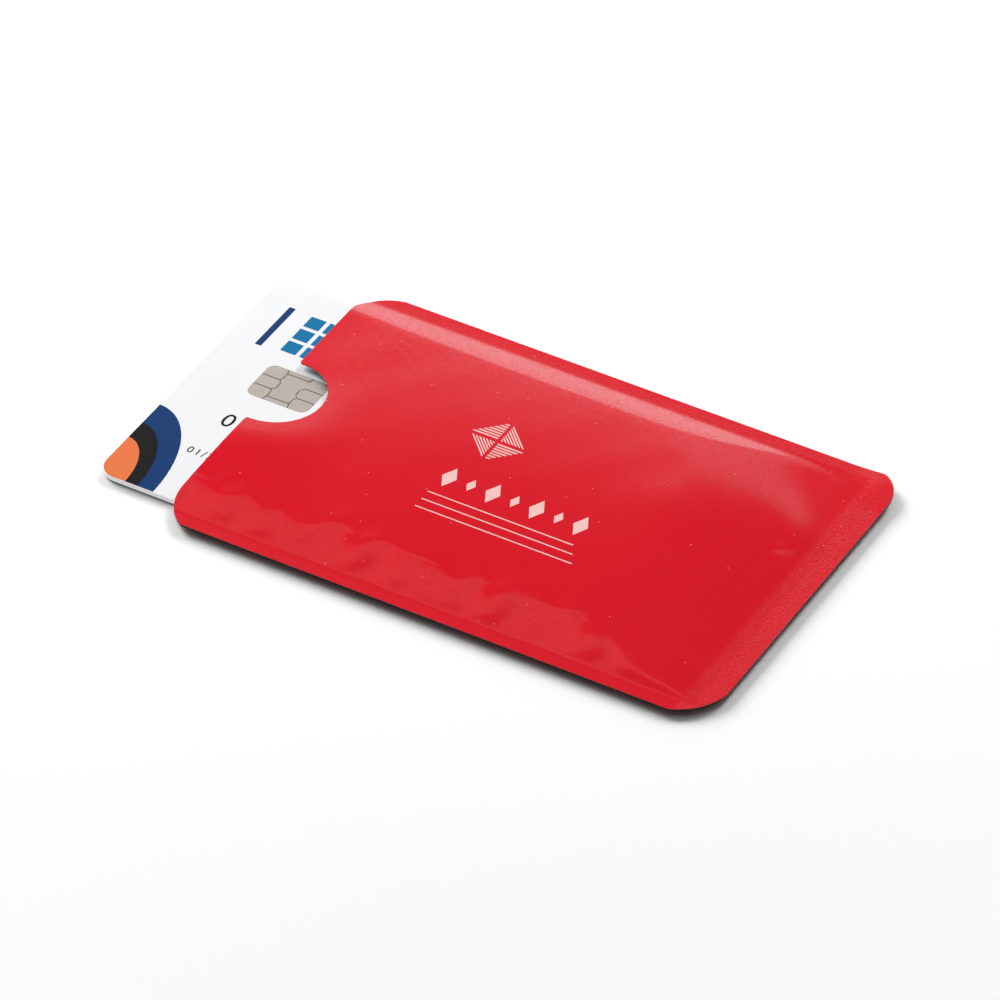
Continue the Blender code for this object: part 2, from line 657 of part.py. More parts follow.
def build_antenna(frame, inlay, finish):
    """The coil in its groove in the inlay's front face, and the bridge in its back face."""
    path = spiral_path()
    top = INLAY_TOP
    bottom = top - TRACK_THICKNESS
    add_object("antenna_coil", ribbon(path, TRACK_WIDTH, bottom, top), frame, finish)
    groove = path.copy()
    groove[0, 1] += TRACK_GAP
    groove[-1, 0] += TRACK_GAP
    groove = ribbon(groove, TRACK_WIDTH + 2 * TRACK_GAP, bottom - TRACK_GAP, top + OVERRUN)
    boolean(inlay, add_object("antenna_groove", groove, frame))
    x_from = path[0, 0] - TRACK_WIDTH / 2
    x_to = CHIP_X - PLATE_LENGTH / 2 + LEAD_OVERLAP
    y = CHIP_Y - LEAD_SPACING / 2 - TRACK_WIDTH
    build_bridge(frame, inlay, x_from, x_to, y, bottom - TRACK_GAP, finish)


def staple(x_from, x_to, y, width, bottom, strap, top, post, inset=0.0):
    """A strap with a post up at each end, as one U profile carried across its width."""
    inner = strap + inset
    outline = [
        (x_from, bottom),
        (x_to, bottom),
        (x_to, top),
        (x_to - post, top),
        (x_to - post, inner),
        (x_from + post, inner),
        (x_from + post, top),
        (x_from, top),
    ]
    bm = bmesh.new()
    face = bm.faces.new([bm.verts.new((x, y - width / 2, z)) for x, z in outline])
    grown = bmesh.ops.extrude_face_region(bm, geom=[face])
    moved = [part for part in grown["geom"] if isinstance(part, bmesh.types.BMVert)]
    bmesh.ops.translate(bm, vec=(0, width, 0), verts=moved)
    return bm


def build_bridge(frame, inlay, x_from, x_to, y, coil_underside, finish):
    """The strap under the turns, with a post up to the coil's outer end and one at the module."""
    strap = INLAY_BOTTOM + TRACK_THICKNESS
    post = TRACK_WIDTH
    bridge = staple(x_from, x_to, y, TRACK_WIDTH, INLAY_BOTTOM, strap, coil_underside - TRACK_GAP, post)
    add_object("antenna_bridge", bridge, frame, finish)
    slot = staple(
        x_from - TRACK_GAP,
        x_to + TRACK_GAP,
        y,
        TRACK_WIDTH + 2 * TRACK_GAP,
        INLAY_BOTTOM - OVERRUN,
        strap,
        coil_underside + TRACK_GAP,
        post + 2 * TRACK_GAP,
        inset=TRACK_GAP,
    )
    boolean(inlay, add_object("bridge_slot", slot, frame))


def build_sleeve():
    frame = frame_empty("sleeve_frame", (0, 0, SEAM_HEIGHT))
    red = material("printed_red_film", (0.60, 0.010, 0.022), 0.28)
    silver = material("aluminium_foil", (0.80, 0.81, 0.82), 0.30, 1.0)
    liner = material("heat_seal_liner", (0.62, 0.63, 0.65), 0.45, 0.3)
    weld = material("fused_liner", (0.55, 0.55, 0.57), 0.50)
    finishes = {"film": red, "foil": silver, "liner": liner}
    die = die_cutter(frame)
    along, across = wave_lines()
    front_lines = np.unique([*length_lines(), *along]), np.unique([*width_lines(), *across])
    back_lines = np.unique(length_lines()), np.unique(width_lines())
    build_panel("front", front_rise, 1, front_lines, frame, die, finishes)
    build_panel("back", back_rise, -1, back_lines, frame, die, finishes)
    build_welds(frame, die, weld)


def build_card():
    frame = frame_empty("card_slide", (CARD_X, 0, CARD_BOTTOM))
    finishes = {
        "white": material("white_card_stock", (0.88, 0.89, 0.91), 0.40),
        "clear": material("glossy_card_overlay", (0.90, 0.91, 0.93), 0.22),
        "inlay": material("inlay_stock", (0.80, 0.80, 0.78), 0.55),
        "stripe": material("magnetic_tape", (0.030, 0.022, 0.020), 0.35),
        "paper": material("signature_paper", (0.82, 0.82, 0.80), 0.80),
        "tape": material("glass_epoxy_tape", (0.20, 0.22, 0.10), 0.50),
        "resin": material("black_resin", (0.02, 0.02, 0.02), 0.40),
        "silicon": material("silicon", (0.12, 0.13, 0.15), 0.20, 0.6),
    }
    copper = material("antenna_copper", (0.72, 0.34, 0.20), 0.35, 1.0)
    plating = material("contact_plating", (0.54, 0.48, 0.42), 0.35, 1.0)
    sheets = build_card_sheets(frame, finishes)
    build_back_strips(frame, sheets["back_overlay"], finishes)
    build_module(frame, sheets, finishes)
    build_contacts(frame, plating)
    build_antenna(frame, sheets["inlay"], copper)


clear_scene()
build_sleeve()
build_card()
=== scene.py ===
"""Looks of a card holder: a heat-sealed sleeve of red foil laminate with a chip card in it.

Laid out as a Blender add-on: sizes and colours are properties, each group of pieces has an
operator, and a panel in the 3D view's sidebar lists them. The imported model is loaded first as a
fixed frame, in metres with +Z up, and the main sizes are read from its boxes. The origin is the
middle of the sleeve's flat back face, +X runs from the open mouth to the closed end, and +Y to
the long edge at the rear.
"""

import math

import bpy
import numpy as np
from bpy.props import FloatProperty, FloatVectorProperty, PointerProperty
from bpy.types import Operator, Panel, PropertyGroup
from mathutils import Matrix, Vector
from mathutils.geometry import delaunay_2d_cdt


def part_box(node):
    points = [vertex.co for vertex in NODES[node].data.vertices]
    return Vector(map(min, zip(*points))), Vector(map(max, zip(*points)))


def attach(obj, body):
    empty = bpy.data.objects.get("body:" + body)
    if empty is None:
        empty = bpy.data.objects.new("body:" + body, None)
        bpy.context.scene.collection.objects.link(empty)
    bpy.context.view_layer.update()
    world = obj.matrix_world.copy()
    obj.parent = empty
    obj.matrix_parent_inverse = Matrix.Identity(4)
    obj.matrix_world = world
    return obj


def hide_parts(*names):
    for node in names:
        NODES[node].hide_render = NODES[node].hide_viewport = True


bl_info = {
    "name": "Card holder looks",
    "version": (1, 0, 0),
    "blender": (4, 5, 0),
    "location": "3D View > Sidebar > Card holder",
    "description": "Surfaces, finishes and studio for a heat-sealed sleeve with a chip card in it",
    "category": "Object",
}

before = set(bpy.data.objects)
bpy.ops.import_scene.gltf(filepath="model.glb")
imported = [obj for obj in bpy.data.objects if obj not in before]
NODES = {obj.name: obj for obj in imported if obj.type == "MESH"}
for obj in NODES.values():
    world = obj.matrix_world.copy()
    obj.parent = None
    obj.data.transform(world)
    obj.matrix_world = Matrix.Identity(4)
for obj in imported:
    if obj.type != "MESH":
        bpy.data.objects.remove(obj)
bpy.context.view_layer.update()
MM = 0.001

# Sizes read from the frame's boxes
SLEEVE_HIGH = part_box("back_film")[1]
SIDE_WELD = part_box("front_side_weld")
CARD_LOW, CARD_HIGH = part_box("card_front_overlay")
HALF_LENGTH = SLEEVE_HIGH.x
HALF_WIDTH = SLEEVE_HIGH.y
POCKET_HALF_WIDTH = -SIDE_WELD[1].y
POCKET_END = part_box("end_weld")[0].x
SEAM_HEIGHT = (SIDE_WELD[0].z + SIDE_WELD[1].z) / 2
WELD_HALF = (SIDE_WELD[1].z - SIDE_WELD[0].z) / 2
CARD_TOP = CARD_HIGH.z
CARD_X = (CARD_LOW.x + CARD_HIGH.x) / 2
CARD_CORNER = 3.18 * MM
# The camera's bearing from -Y towards +X
TURN = math.radians(30.035)
# A face counts as upright, where the die or the punch has cut it, if its normal's Z is below this
UPRIGHT = 0.5


def linear(code):
    """An sRGB hex colour as linear red, green and blue."""
    shares = np.array([int(code[k : k + 2], 16) for k in (1, 3, 5)]) / 255
    return tuple(np.where(shares <= 0.04045, shares / 12.92, ((shares + 0.055) / 1.055) ** 2.4))


def number(name, description, default, **kind):
    """A property for one number."""
    return FloatProperty(name=name, description=description, default=default, **kind)


def length(name, description, default):
    """A property for one size or distance."""
    return number(name, description, default, unit="LENGTH", precision=5)


def share(name, description, default):
    """A property for a share, a slope or a reflectance."""
    return number(name, description, default, subtype="FACTOR")


def angle(name, description, default):
    """A property for an angle."""
    return number(name, description, default, subtype="ANGLE")


def numbers(name, description, default, **kind):
    """A property for two or three numbers."""
    return FloatVectorProperty(
        name=name, description=description, default=default, size=len(default), **kind
    )


def lengths(name, description, default):
    """A property for a place or for two or three sizes."""
    return numbers(name, description, default, unit="LENGTH", precision=5)


def colour(name, description, code):
    """A property for a colour, whose default is given as sRGB hex."""
    return numbers(name, description, linear(code), subtype="COLOR", min=0, max=1)


class SleeveShape(PropertyGroup):
    """Thicknesses of the sleeve's layers, and sizes of the form that they all follow."""

    liner: length("Liner", "Thickness of the heat-seal liner", 0.05 * MM)
    foil: length("Foil", "Thickness of the aluminium foil", 0.03 * MM)
    film: length("Film", "Thickness of the printed film", 0.06 * MM)
    bond: length("Bond", "Thickness of each adhesive line", 0.01 * MM)
    crown: length("Crown", "Height of the front panel's plateau above the weld", 0.63 * MM)
    dome: length("Dome", "Further rise along the middle, inside the mouth", 0.4 * MM)
    dome_run: length("Dome run", "How far in from the mouth the dome takes to rise", 34.0 * MM)
    ease: length("Ease", "Softness of the bend where the plateau nears the weld", 0.15 * MM)
    kink: length("Kink", "Softness of the bend between the ramps and the plateau", 0.05 * MM)
    rear_steep: share("Rear steepness", "Slope of the ramp up from the rear weld", 0.26)
    rear_crest: length("Rear crest", "Where the rear ramp would level out", 10.0 * MM)
    rear_fillet: length("Rear fillet", "How softly the rear ramp starts", 0.9 * MM)
    calm: share("Calm", "Share of its steepness that the rear ramp loses past the card", 0.85)
    tuck: share("Tuck", "Share that the front ramp's steepness gains there", 0.5)
    calm_run: length("Calm run", "Run over which the one loses and the other gains", 12.0 * MM)
    sway: share("Sway", "Share by which the front ramp's steepness sways along it", 0.15)
    front_steep: share("Front steepness", "Slope of the ramp up from the front weld", 0.15)
    front_crest: length("Front crest", "Where the front ramp would level out", 15.0 * MM)
    front_fillet: length("Front fillet", "How softly the front ramp starts", 0.4 * MM)
    end_steep: share("End steepness", "Slope of the ramp up from the end weld", 0.09)
    end_crest: length("End crest", "Where the end ramp would level out", 14.0 * MM)
    end_fillet: length("End fillet", "How softly the end ramp starts", 1.5 * MM)
    end_slope: length("End slope", "Run of the back panel's fall from the end weld", 4.9 * MM)
    back_slope: length("Back slope", "Run of the back panel's fall from the side welds", 1.9 * MM)
    sag: share("Sag", "Share of its height that the plateau loses towards the end", 0.9)
    sag_lead: length("Sag lead", "How far over the card the sag begins", 8.0 * MM)
    sag_run: length("Sag run", "Run over which the plateau sags", 34.0 * MM)
    fall: length("Fall", "How far the plateau falls at the end's rear corner", 0.48 * MM)
    fall_lead: length("Fall lead", "How far before the fall line the fall begins", 12.5 * MM)
    fall_angle: angle("Fall angle", "Slant of the fall line", math.radians(32.4))
    fall_run: length("Fall run", "Run over which it falls", 20.0 * MM)
    roll: length("Roll", "How far the film is rolled down at the rim of the notch", 0.05 * MM)
    roll_reach: length("Roll reach", "How far in from the rim the roll has mostly gone", 4.0 * MM)
    crumple: length("Crumple", "Height of the waves along the front ramp", 0.1 * MM)
    waver: length("Waver", "Height of the slow waves over the whole panel", 0.006 * MM)
    rear_lift: length("Rear lift", "How far the rear weld's outer edge turns up", 0.04 * MM)
    fold: length("Fold", "Height of the fold before the fall line", 0.14 * MM)
    gape: length("Gape", "How far the film stands up at the notch's front lip", 0.45 * MM)
    press: length("Press", "How far the film is pressed down at the notch's rear lip", 0.02 * MM)
    wave_half: length("Wave half width", "Half width of the gape", 10.0 * MM)
    wave_run: length("Wave run", "How far the gape reaches in from the mouth", 20.0 * MM)
    press_half: length("Press half width", "Half width of the press", 14.0 * MM)
    press_run: length("Press run", "How far the press reaches in from the mouth", 10.0 * MM)
    curl: length("Curl", "How far the rear corner of the closed end curls up", 0.45 * MM)
    curl_reach: length("Curl reach", "How far from the corner the curl begins", 9.0 * MM)


class DieShape(PropertyGroup):
    """Sizes of the die-cut outline."""

    notch_radius: length("Notch radius", "Radius of the thumb notch", 7.8 * MM)
    notch_inset: length("Notch inset", "How far in from the mouth its centre lies", 0.7 * MM)
    notch_offset: length("Notch offset", "How far it is off the middle, to the rear", 2.0 * MM)
    lip_standoff: length("Lip standoff", "How far outside the notch the gape peaks", 3.5 * MM)
    lip_rounding: length("Lip rounding", "Radius of the notch's two lips", 0.5 * MM)
    bulge: share("Corner bulge", "Bulge of each corner cut as a share of its chord", 0.13)


class Prints(PropertyGroup):
    """Places and sizes of the generic prints on the film and on the card."""

    ink: length("Ink", "Thickness of the printed ink", 0.012 * MM)
    ink_clearance: length("Ink clearance", "Gap between the ink and what it lies on", 0.003 * MM)
    diamond_place: lengths("Diamond place", "Middle of the large diamond", (-10.8 * MM, 8.2 * MM))
    diamond: length("Diamond", "Half of the large diamond's width", 5.2 * MM)
    hatch: length("Hatch", "Width of each strip in the diamond, and of the gap beside it", 0.3 * MM)
    row_start: length("Row start", "Where the row of small diamonds begins", -12.8 * MM)
    row_end: length("Row end", "Where the row of small diamonds ends", 10.0 * MM)
    row_height: length("Row height", "Where the row of small diamonds stands", -2.9 * MM)
    rule_height: length("Rule height", "Where the uppermost thin rule stands", -7.4 * MM)
    rule_pitch: length("Rule pitch", "Distance between the thin rules", 1.9 * MM)
    rule: length("Rule", "Width of each thin rule", 0.24 * MM)
    rings: lengths(
        "Rings", "Outer radii along X of the disc and two rings", (5.2 * MM, 7.4 * MM, 10.2 * MM)
    )
    ring_stretch: number("Ring stretch", "How much longer the rings are along Y", 1.8)
    square_place: lengths("Square place", "Lowest corner of the squares", (-51.8 * MM, 11.9 * MM))
    square: length("Square", "Side of each square", 2.7 * MM)
    square_pitch: length("Square pitch", "Distance between the squares", 3.4 * MM)
    bar_place: lengths("Bar place", "Lowest corner of the bar", (-56.0 * MM, 11.3 * MM))
    bar_size: lengths("Bar size", "Width and height of the bar", (1.1 * MM, 10.4 * MM))
    digit_relief: length("Digit relief", "How far the digits stand off the card", 0.02 * MM)


# Rows of digits on the card: what each says, its size and where it begins
DIGIT_ROWS = {
    "number": ("0123 4567 8901 2345", 4.4 * MM, (-50.7 * MM, -8.2 * MM)),
    "dates": ("01/30", 2.1 * MM, (-51.5 * MM, -16.2 * MM)),
}


class Colours(PropertyGroup):
    """Colours of the prints and finishes."""

    # The film's two reds are mixed by the surface's tilt: the first is painted shade, the second
    # painted light
    film: colour("Film", "Red of the film where it tips to the rear", "#ba1424")
    film_painted_light: colour("Pale film", "Red of the film where it tips to the front", "#ea1628")
    film_print: colour("Film print", "Pale print on the film", "#fbc9c4")
    foil: colour("Foil", "Aluminium foil", "#e6e7e9")
    liner: colour("Liner", "Heat-seal liner", "#cbccd0")
    weld: colour("Weld", "Fused bead", "#b9bac0")
    # Painted shade: the near black that the cut edges are given in place of the shade on them
    cut: colour("Cut", "Layers smeared together by the die", "#29292c")
    card: colour("Card", "Off-white of the card's face", "#f4f4f6")
    core: colour("Core", "White of the card's inner sheets", "#eeeff1")
    blue: colour("Blue", "Wide ring printed on the card", "#0a3a72")
    orange: colour("Orange", "Corner printed on the card", "#ee7b46")
    black: colour("Black", "Narrow ring and digits on the card", "#141314")
    teal: colour("Teal", "Squares printed on the card", "#0075a8")
    oxide: colour("Oxide", "Brown of the magnetic tape", "#33281f")
    paper: colour("Paper", "Signature strip", "#efeee8")
    paper_rule: colour("Paper rule", "Lines on the signature strip", "#dcd9d6")
    copper: colour("Copper", "Clean copper", "#d98a63")
    tarnish: colour("Tarnish", "Tarnished copper", "#a8613f")
    epoxy: colour("Epoxy", "Dark of the glass-epoxy tape", "#2c2a20")
    glass: colour("Glass", "Light threads of the glass-epoxy tape", "#4a4632")
    plating: colour("Plating", "Darker streaks of the plating", "#9f948b")
    plating_pale: colour("Pale plating", "Lighter streaks of the plating", "#c3bab1")
    silicon: colour("Silicon", "Polished silicon", "#5a5e66")


class Studio(PropertyGroup):
    """The camera's place and the light."""

    azimuth: angle("Azimuth", "Camera's bearing, from -Y towards +X", TURN)
    elevation: angle("Elevation", "Camera's height as an angle", math.radians(39.862))
    distance: length("Distance", "Camera's distance from the origin", 1224.7 * MM)
    lens: number("Lens", "Focal length in millimetres", 292.6)
    shift: numbers("Shift", "Camera's shift, in frame widths", (-0.0325, 0.0054))
    box_place: lengths("Softbox place", "Middle of the low soft box", (-0.46, 1.03, 0.41))
    box_size: lengths("Softbox size", "Width and height of the low soft box", (2.2, 0.36))
    box_radiance: number("Softbox radiance", "Its brightness, where white is 1", 1.1)
    key_place: lengths("Key place", "Middle of the main lamp", (-1.0, 0.44, 0.58))
    key_size: lengths("Key size", "Width and height of the main lamp", (0.55, 0.55))
    key_radiance: number("Key radiance", "Its brightness, where white is 1", 15.5)
    back_place: lengths("Back place", "Middle of the second lamp", (0.05, 1.05, 0.66))
    back_size: lengths("Back size", "Width and height of the second lamp", (0.4, 0.4))
    back_radiance: number("Back radiance", "Its brightness, where white is 1", 15.3)
    front_share: share("Front share", "Brightness of the surroundings at the front", 0.09)
    floor_gap: length("Floor gap", "How far the floor lies under the sleeve", 0.01 * MM)
    floor_half: length("Floor half", "Half of the floor's width", 3000.0 * MM)
    shadow_reach: length("Shadow reach", "How far out the floor takes shadow in full", 78.0 * MM)
    shadow_fade: number("Shadow fade", "How many times as far out it takes none", 2.5)
    floor_white: share("Floor white", "Reflectance of the floor where it is seen", 1.0)
    floor_bounce: share("Floor bounce", "Reflectance of the floor for light on the object", 0.25)


# Surfaces


def smooth_rise(distance, run):
    """0 up to distance 0, 1 from run onwards, and t * t * (3 - 2 * t) between them."""
    t = np.clip(distance / run, 0, 1)
    return t * t * (3 - 2 * t)


def hump(distance, half_width):
    """1 in the middle, falling as exp(-(distance / half_width) squared)."""
    return np.exp(-((distance / half_width) ** 2))


# How far the press lies from the notch's middle, as a multiple of the gape's distance
PRESS_DISTANCE = 1.3


def mouth_wave(x, y, shape, die):
    """A hump up at the notch's front lip less one at its rear lip, both fading inwards."""
    lip = die.notch_radius + die.lip_standoff
    gape = shape.gape * hump(y - die.notch_offset + lip, shape.wave_half)
    press = shape.press * hump(y - die.notch_offset - PRESS_DISTANCE * lip, shape.press_half)
    gape = gape * smooth_rise(shape.wave_run - HALF_LENGTH - x, shape.wave_run)
    return gape - press * smooth_rise(shape.press_run - HALF_LENGTH - x, shape.press_run)


# Crossed waves of the front ramp's crumples, of its steepness and of the whole panel: pitch along X
# and along Y in mm, and phase
CRUMPLE = (
    (34.0, 15.0, 0.4),
    (21.0, -40.0, 2.0),
    (14.3, 26.0, 4.1),
    (-10.7, 17.0, 0.9),
    (7.9, -60.0, 5.2),
    (5.7, 44.0, 3.0),
)
SWAY = ((33.0, 90.0, 2.6), (13.0, -60.0, 0.3), (8.3, 70.0, 4.0))
WAVER = ((31.0, 24.0, 1.0), (17.0, -21.0, 3.2), (-12.0, 14.0, 5.0))
# Low swells of the film in mm: middle, half widths to the right and upwards as seen, and height
SWELLS = (
    (38.1, 8.4, 1.7, 1.0, 0.05),
    (20.0, 9.0, 9.0, 6.5, 0.05),
)
# Where the crumples begin, in front of the middle, and where they end along the sleeve, each with
# the run over which they fade there
CRUMPLE_REAR, CRUMPLE_REAR_RUN = -15 * MM, 7 * MM
CRUMPLE_END, CRUMPLE_END_RUN = 40 * MM, 20 * MM
# The fold: how far before the fall line it lies, its half width and what that loses along the line,
# and where it starts and stops, with the run that each takes
FOLD_LEAD = 4.2 * MM
FOLD_HALF_WIDTH = 4.8 * MM
FOLD_TAPER = 0.07
FOLD_START, FOLD_START_RUN = 2 * MM, 20 * MM
FOLD_STOP, FOLD_STOP_RUN = 1 * MM, 7 * MM
# How far in from a weld the wrinkles take to reach their full height
HELD_RUN = 3 * MM
# How far in from a weld its ramp eases
RAMP_EASE = 8 * MM


def waves(x, y, table):
    """The mean of sin(2 pi (x / pitch + y / other pitch) + phase) over the table's rows."""
    turns = [
        x / (along * MM) + y / (across * MM) + phase / math.tau for along, across, phase in table
    ]
    return np.sin(math.tau * np.array(turns)).mean(axis=0)


def wrinkles(x, y, shape):
    """What the film adds to its plain form: two fields of waves, a fold and some swells.

    Each swell is an oval that lies level to the camera: u runs to its right and v away from it.
    """
    front = smooth_rise(CRUMPLE_REAR - y, CRUMPLE_REAR_RUN)
    front = front * smooth_rise(CRUMPLE_END - x, CRUMPLE_END_RUN)
    beyond, along = by_fall_line(x, y, shape)
    fold = hump(beyond + FOLD_LEAD, FOLD_HALF_WIDTH - FOLD_TAPER * along)
    fold = fold * smooth_rise(along - FOLD_START, FOLD_START_RUN)
    fold = fold * smooth_rise(POCKET_END - x - FOLD_STOP, FOLD_STOP_RUN)
    swell = np.zeros_like(x)
    for middle_x, middle_y, wide, deep, height in np.array(SWELLS) * MM:
        u = (x - middle_x) * math.cos(TURN) + (y - middle_y) * math.sin(TURN)
        v = (y - middle_y) * math.cos(TURN) - (x - middle_x) * math.sin(TURN)
        swell += height * hump(u, wide) * hump(v, deep)
    return (
        shape.crumple * front * waves(x, y, CRUMPLE)
        + shape.waver * waves(x, y, WAVER)
        + shape.fold * fold
        + swell
    )


def ramp(distance, steep, crest, fillet):
    """Height at distance d in from a weld: the slope is steep * (d / hypot(d, fillet) - d / crest).

    The second part of the slope stops at RAMP_EASE.
    """
    d = np.maximum(distance, 0)
    return steep * (np.hypot(d, fillet) - fillet - np.minimum(d, RAMP_EASE) ** 2 / (2 * crest))


def lower_of(first, second, softness):
    """The lower of two heights, (a + b - hypot(a - b, softness)) / 2, which rounds the bend."""
    return (first + second - np.hypot(first - second, softness)) / 2


def by_fall_line(x, y, shape):
    """Distance beyond a slanting line through the card's rear corner, and distance along it."""
    s, c = math.sin(shape.fall_angle), math.cos(shape.fall_angle)
    x, y = x - CARD_HIGH.x, y - CARD_HIGH.y
    return x * s + y * c, x * c - y * s


def plateau(x, y, shape, die):
    """Height of the film over the pocket: a crown and a dome, less a sag, a fall and a roll.

    The sag lies beyond the card's end and the fall beyond a slanting line. The roll fades as
    exp(-distance / reach) from the notch's rim.
    """
    inwards = 1 - np.clip((x + HALF_LENGTH) / shape.dome_run, 0, 1)
    dome = (1 - inwards**2) * (1 - (y / POCKET_HALF_WIDTH) ** 2)
    sag = 1 - shape.sag * smooth_rise(x - CARD_HIGH.x + shape.sag_lead, shape.sag_run)
    fall = shape.fall * smooth_rise(by_fall_line(x, y, shape)[0] + shape.fall_lead, shape.fall_run)
    rim = np.hypot(x + HALF_LENGTH - die.notch_inset, y - die.notch_offset) - die.notch_radius
    roll = shape.roll * np.exp(-np.maximum(rim, 0) / shape.roll_reach)
    height = (shape.crown + shape.dome * dome) * sag - fall + mouth_wave(x, y, shape, die) - roll
    return (height + np.hypot(height, shape.ease)) / 2


def front_rise(x, y, shape, die):
    """The front panel's height above the weld: the lowest of three ramps and the plateau."""
    height = plateau(x, y, shape, die)
    past = smooth_rise(x - CARD_HIGH.x, shape.calm_run)
    sway = 1 + shape.sway * waves(x, y, SWAY) + shape.tuck * past
    steep = np.where(y > 0, shape.rear_steep * (1 - shape.calm * past), shape.front_steep * sway)
    crest = np.where(y > 0, shape.rear_crest, shape.front_crest)
    fillet = np.where(y > 0, shape.rear_fillet, shape.front_fillet)
    inside = POCKET_HALF_WIDTH - np.abs(y)
    side = ramp(inside, steep, crest, fillet)
    end = ramp(POCKET_END - x, shape.end_steep, shape.end_crest, shape.end_fillet)
    height = lower_of(lower_of(height, side, shape.kink), end, shape.kink)
    free = smooth_rise(inside, HELD_RUN) * smooth_rise(POCKET_END - x, HELD_RUN)
    return np.maximum(height + free * wrinkles(x, y, shape), 0)


def back_rise(x, y, shape):
    """The back panel's depth below the weld: smooth falls from three sides to a flat face."""
    depth = SEAM_HEIGHT - seal_half(shape) - panel_thickness(shape)
    side = smooth_rise(POCKET_HALF_WIDTH - np.abs(y), shape.back_slope)
    return depth * side * smooth_rise(POCKET_END - x, shape.end_slope)


def curl(x, y, shape):
    """Smooth rises towards the end's rear corner and the rear edge, the same in all layers."""
    distance = np.hypot(HALF_LENGTH - x, HALF_WIDTH - y)
    run = 2 * (HALF_WIDTH - POCKET_HALF_WIDTH)
    lift = shape.rear_lift * smooth_rise(y - POCKET_HALF_WIDTH, run)
    return lift + shape.curl * smooth_rise(shape.curl_reach - distance, shape.curl_reach)


def seal_half(shape):
    """Half of the gap between the panels at a weld: half of the bead and one adhesive line."""
    return WELD_HALF + shape.bond


def panel_thickness(shape):
    """A panel's three layers and the two adhesive lines between them."""
    return shape.liner + shape.foil + shape.film + 2 * shape.bond


def film_top(x, y, shape, die):
    """Height of the front film's outer face."""
    above = seal_half(shape) + panel_thickness(shape)
    return SEAM_HEIGHT + curl(x, y, shape) + above + front_rise(x, y, shape, die)


# Outlines and nets

# How far each corner cut reaches along the length and along the width
CORNER_REACHES = {
    (-1, 1): (6.2 * MM, 5.0 * MM),
    (1, 1): (3.6 * MM, 5.0 * MM),
    (1, -1): (6.0 * MM, 7.0 * MM),
    (-1, -1): (4.2 * MM, 6.8 * MM),
}
# How finely the outline's curves are divided
CORNER_POINTS = 24
NOTCH_POINTS = 80
LIP_POINTS = 7
RIM_STEP = 0.35 * MM
# Steps of the sleeve's net along X and along Y, and both where the panels slope
STEP_ALONG, STEP_ACROSS, STEP_FINE = 0.55 * MM, 0.6 * MM, 0.25 * MM
# Longest side that a print's outline keeps, so that the ink can follow what it lies on
PRINT_STEP = 0.5 * MM
# How close two points of a net may come before they are joined, in mm
CDT_GAP = 1e-6


def arc(centre, radius, start, end, count):
    """Points centre + radius * (cos a, sin a) for angles a from start to end."""
    a = np.linspace(start, end, count)
    return np.array(centre) + radius * np.stack((np.cos(a), np.sin(a)), axis=1)


def bulged(first, last, bulge, count):
    """Points from first to last on a parabola that bulges to the left by bulge times the chord."""
    t = np.linspace(0, 1, count)[:, None]
    first, last = np.array(first), np.array(last)
    chord = last - first
    left = np.array((-chord[1], chord[0]))
    return first + t * chord + 4 * bulge * t * (1 - t) * left


def die_outline(die):
    """The sleeve's outline, clockwise from the rear end of the mouth, with the notch and lips."""
    x, y = HALF_LENGTH, HALF_WIDTH
    points = []
    for (along, across), (run, width) in CORNER_REACHES.items():
        on_end = (along * x, across * (y - width))
        on_side = (along * (x - run), across * y)
        first, last = (on_end, on_side) if along * across < 0 else (on_side, on_end)
        points.append(bulged(first, last, die.bulge, CORNER_POINTS))
    rounding = die.lip_rounding
    centre = die.notch_inset - x
    turn = math.acos((rounding - die.notch_inset) / die.notch_radius)
    notch = arc((centre, die.notch_offset), die.notch_radius, -turn, turn, NOTCH_POINTS)
    rear = arc(notch[-1] + (0, rounding), rounding, -math.pi / 2, -math.pi, LIP_POINTS)
    front = (rear[::-1] - (0, die.notch_offset)) * (1, -1) + (0, die.notch_offset)
    return divided(np.concatenate((*points, front[:-1], notch, rear[1:])), RIM_STEP)


def divided(corners, spacing):
    """The polygon's corners, with points on its sides no further apart than the spacing."""
    sides = []
    for first, last in zip(corners, np.roll(corners, -1, axis=0)):
        steps = int(np.linalg.norm(last - first) / spacing) + 1
        sides.append(np.linspace(first, last, steps, endpoint=False))
    return np.concatenate(sides)


def lines(low, high, step, *finer):
    """Places from low to high by the step, or by the step of each finer (from, to, step)."""
    places = np.arange(low, high, step)
    for first, last, closer in finer:
        outside = (places < first) | (places > last)
        places = np.concatenate((places[outside], np.arange(first, last, closer)))
    return np.sort(places)


def flat_net(outlines, xs=(), ys=(), margin=0.2 * MM):
    """Points, and anticlockwise triangles between them, that fill the outlines.

    The points are the outlines' own, and those of a grid that lie outside the margin around them.
    """
    rim = np.concatenate(outlines)
    grid = np.stack(np.meshgrid(xs, ys, indexing="ij"), axis=-1).reshape(-1, 2)
    gaps = np.float32(grid[:, None]) - np.float32(rim)
    grid = grid[np.hypot(gaps[..., 0], gaps[..., 1]).min(axis=1) > margin]
    points = np.concatenate((rim, grid))
    edges = []
    start = 0
    for outline in outlines:
        k = start + np.arange(len(outline))
        edges.append(np.stack((k, np.roll(k, -1)), axis=1))
        start += len(outline)
    edges = np.concatenate(edges).tolist()
    _, _, faces, sources, _, _ = delaunay_2d_cdt((points / MM).tolist(), edges, [], 1, CDT_GAP)
    origin = np.array([source[0] for source in sources])
    return trimmed_net(points, origin[np.array(faces)])


